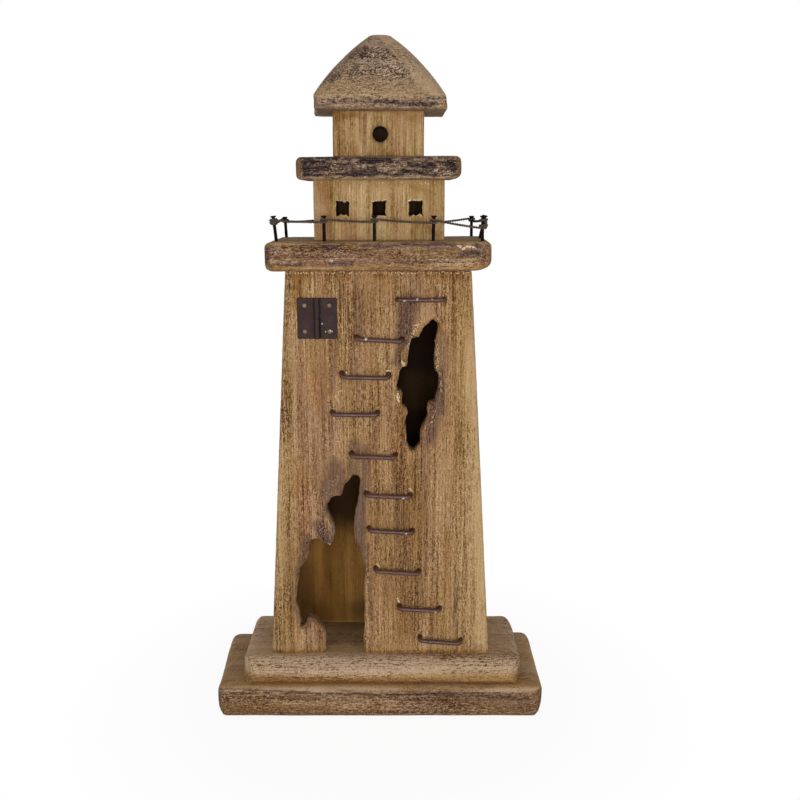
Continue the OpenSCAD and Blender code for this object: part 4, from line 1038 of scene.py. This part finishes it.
# Rail twine. Each post has its foot's X and Y, its lean for each unit of height, and the twine's height
POST_R = 1.05
TWINE_R = 0.86
TWINE_FUZZ = 0.06
POST_ROWS = [
    (-63.6, -28, -0.112, 11.4), (-33.7, -28, 0, 12.2), (-2.3, -28, 0, 12.3), (34.5, -28, 0.02, 11.8),
    (65.2, -28, 0, 8.7), (65.9, 0, 0.23, 11.2), (62.4, 28, 0, 11.1), (34.5, 28, 0, 9.8),
    (-2.3, 28, 0, 10.2), (-33.7, 28, 0, 10.8), (-63.9, 28, -0.04, 10.6)]


def post_axis(row, height):
    x, y, lean, _ = row
    return np.array([x + lean * height, y, DECK_TOP + height])


def coil(row, radius, low, high, start, turn):
    """Path of a coil round a post between two heights above the deck, its start and turn in degrees."""
    count = max(8, int(abs(turn) / 15))
    path = []
    for share in np.linspace(0, 1, count + 1):
        angle = math.radians(start + turn * share)
        path.append(post_axis(row, low + (high - low) * share)
                    + radius * np.array([math.sin(angle), -math.cos(angle), 0]))
    return path


def rail_route():
    """The whole rail's twine: one turn round each post, then a slightly sagging run to the next."""
    mids = [post_axis(row, row[3]) for row in POST_ROWS]
    headings = [math.degrees(math.atan2(way[1], way[0])) for way in np.roll(mids, -1, 0) - mids]
    turns = []
    for i, row in enumerate(POST_ROWS):
        swing = 360 + (headings[i] - headings[i - 1]) % 360
        rise = 1.75 * swing / 360
        turns.append(coil(row, POST_R + 0.72 * TWINE_R, row[3] - rise / 2, row[3] + rise / 2,
                          headings[i - 1], swing))
    route = []
    for turn, following in zip(turns, turns[1:] + turns[:1]):
        run = following[0] - turn[-1]
        route += turn
        for share in np.linspace(0, 1, 12)[1:-1]:
            drop = 4 * share * (1 - share) * 0.012 * np.linalg.norm(run)
            route.append(turn[-1] + run * share - np.array([0, 0, drop]))
    return np.array(route)


def spaced(path, step, closed):
    """Points at even steps along a path."""
    path = np.vstack([path, path[:1]]) if closed else np.asarray(path)
    reach = np.concatenate([[0], np.cumsum(np.linalg.norm(np.diff(path, axis=0), axis=1))])
    count = int(reach[-1] / step)
    at = np.linspace(0, reach[-1], count, endpoint=not closed)
    return np.stack([np.interp(at, reach, path[:, k]) for k in range(3)], 1), reach[-1]


def twisted(name, path, pitch, closed, radius=TWINE_R, seed=7):
    """Two strands laid round each other along a path."""
    points, length = spaced(path, 0.4, closed)
    count, sides = len(points), 7
    pitch = length / round(length / pitch)
    size = 0.56 * radius * np.ones(count)
    ahead, behind = np.roll(points, -1, 0), np.roll(points, 1, 0)
    if not closed:
        ahead[-1], behind[0] = points[-1], points[0]
        size *= np.minimum(1, 0.4 + np.minimum(np.arange(count), np.arange(count)[::-1]) / 3)
    way = unit(ahead - behind)
    level = unit(np.cross(way, (0, 0, 1.0)))
    up = np.cross(level, way)

    def across(angle):
        return np.cos(angle)[:, None] * level + np.sin(angle)[:, None] * up

    noise = Noise(seed)
    place, faces = [], []
    for strand in range(2):
        turn = 2 * np.pi * np.arange(count) * length / count / pitch + np.pi * strand
        middle = points + 0.46 * radius * across(turn)
        first = strand * sides * count
        starts = [first + side * count for side in range(sides)]
        place += [middle + size[:, None] * across(2 * np.pi * side / sides + turn) for side in range(sides)]
        for k in range(count if closed else count - 1):
            after = (k + 1) % count
            faces += [(a + k, b + k, b + after, a + after) for a, b in zip(starts, starts[1:] + starts[:1])]
        if not closed:
            faces.append(starts[::-1])
            faces.append([start + count - 1 for start in starts])
    place = np.vstack(place)
    place += TWINE_FUZZ * np.stack([noise.at(place + 31 * k, (1.2, 1.2, 1.2), 2) for k in range(3)], 1)
    mesh = bpy.data.meshes.new(name)
    mesh.from_pydata([tuple(point) for point in place * MM], [], faces)
    mesh.update()
    reworked(mesh, lambda work: bmesh.ops.recalc_face_normals(work, faces=work.faces))
    mesh.shade_smooth()
    return new_piece(name, mesh, "twine")


def knot(middle, size):
    """Closed path of an overhand knot drawn tight."""
    turn = np.linspace(0, 2 * np.pi, 60, endpoint=False)
    flat = np.stack([np.sin(turn) + 2 * np.sin(2 * turn), -np.sin(3 * turn),
                     np.cos(turn) - 2 * np.cos(2 * turn)], 1)
    return np.asarray(middle) + size * flat


def make_twine():
    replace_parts(twisted("rail_rope", rail_route(), 3.0, True), "rail_twine")
    left, right = POST_ROWS[0], POST_ROWS[4]
    wraps = coil(left, 1.85, 9.8, 13.4, -60, 1250) + coil(left, 2.4, 13.0, 10.4, 110, -700)
    tied = knot(post_axis(right, 9.0) + (1.9, -1.0, 0), 0.42)
    for name, path, pitch, closed, seed in (
            ("left_wraps", wraps, 2.6, False, 8),
            ("right_wraps", coil(right, 1.8, 11.4, 13.4, 30, 900), 2.6, False, 9),
            ("right_low_wraps", coil(right, 2.0, 7.2, 9.6, 80, 980), 2.6, False, 10),
            ("right_knot", tied, 2.4, True, 12)):
        twisted(name, path, pitch, closed, 0.5, seed)


# Light and stage
WORLD_LIGHT = 0.42
LAMPS = [
    ("middle_light", (60, -1600, 250), 600, 6.6), ("left_light", (-900, -1250, 330), 700, 4.6),
    ("right_light", (950, -1200, 380), 700, 5.6)]
AIM = (0, 0, 230)


def make_light():
    world = bpy.data.worlds.new("studio")
    bpy.context.scene.world = world
    t = Tree(world, "ShaderNodeOutputWorld")
    strength = t.add("ShaderNodeMapRange", {"Value": t.seen(), "To Min": WORLD_LIGHT, "To Max": 1.0})
    t.finish(t.add("ShaderNodeBackground", {"Color": (1, 1, 1, 1), "Strength": strength.outputs[0]}))
    for name, place, size, power in LAMPS:
        data = bpy.data.lights.new(name, "AREA")
        data.shape = "DISK"
        data.size = size * MM
        data.energy = power
        lamp = put(name, data)
        lamp.location = Vector(place) * MM
        lamp.rotation_euler = (Vector(place) - Vector(AIM)).to_track_quat("Z", "Y").to_euler()


def make_floor():
    mesh = bpy.data.meshes.new("floor")
    reworked(mesh, lambda work: bmesh.ops.create_grid(work, x_segments=8, y_segments=8, size=4.0))
    t = material("floor_look")
    reach = t.add("ShaderNodeVectorMath", {0: t.place()}, operation="LENGTH").outputs["Value"]
    whiteness = t.step(reach, 80, 260, 0.92, 1.0)
    plain = t.add("ShaderNodeBsdfDiffuse", {"Color": (0.9, 0.9, 0.9, 1)})
    bright = t.add("ShaderNodeEmission", {"Color": (1, 1, 1, 1), "Strength": 1.0})
    mesh.materials.append(t.finish(t.add("ShaderNodeMixShader", {
        0: t.times(t.seen(), whiteness), 1: plain.outputs[0], 2: bright.outputs[0]})))
    put("floor", mesh)


make_camera()
make_light()
make_floor()
make_bases()
make_tower_front()
make_tower_back()
make_tower_sides()
make_gallery()
make_watch_room()
make_eave()
make_lantern_room()
make_roof()
make_metal()
make_twine()

bpy.context.scene.view_settings.view_transform = "Standard"
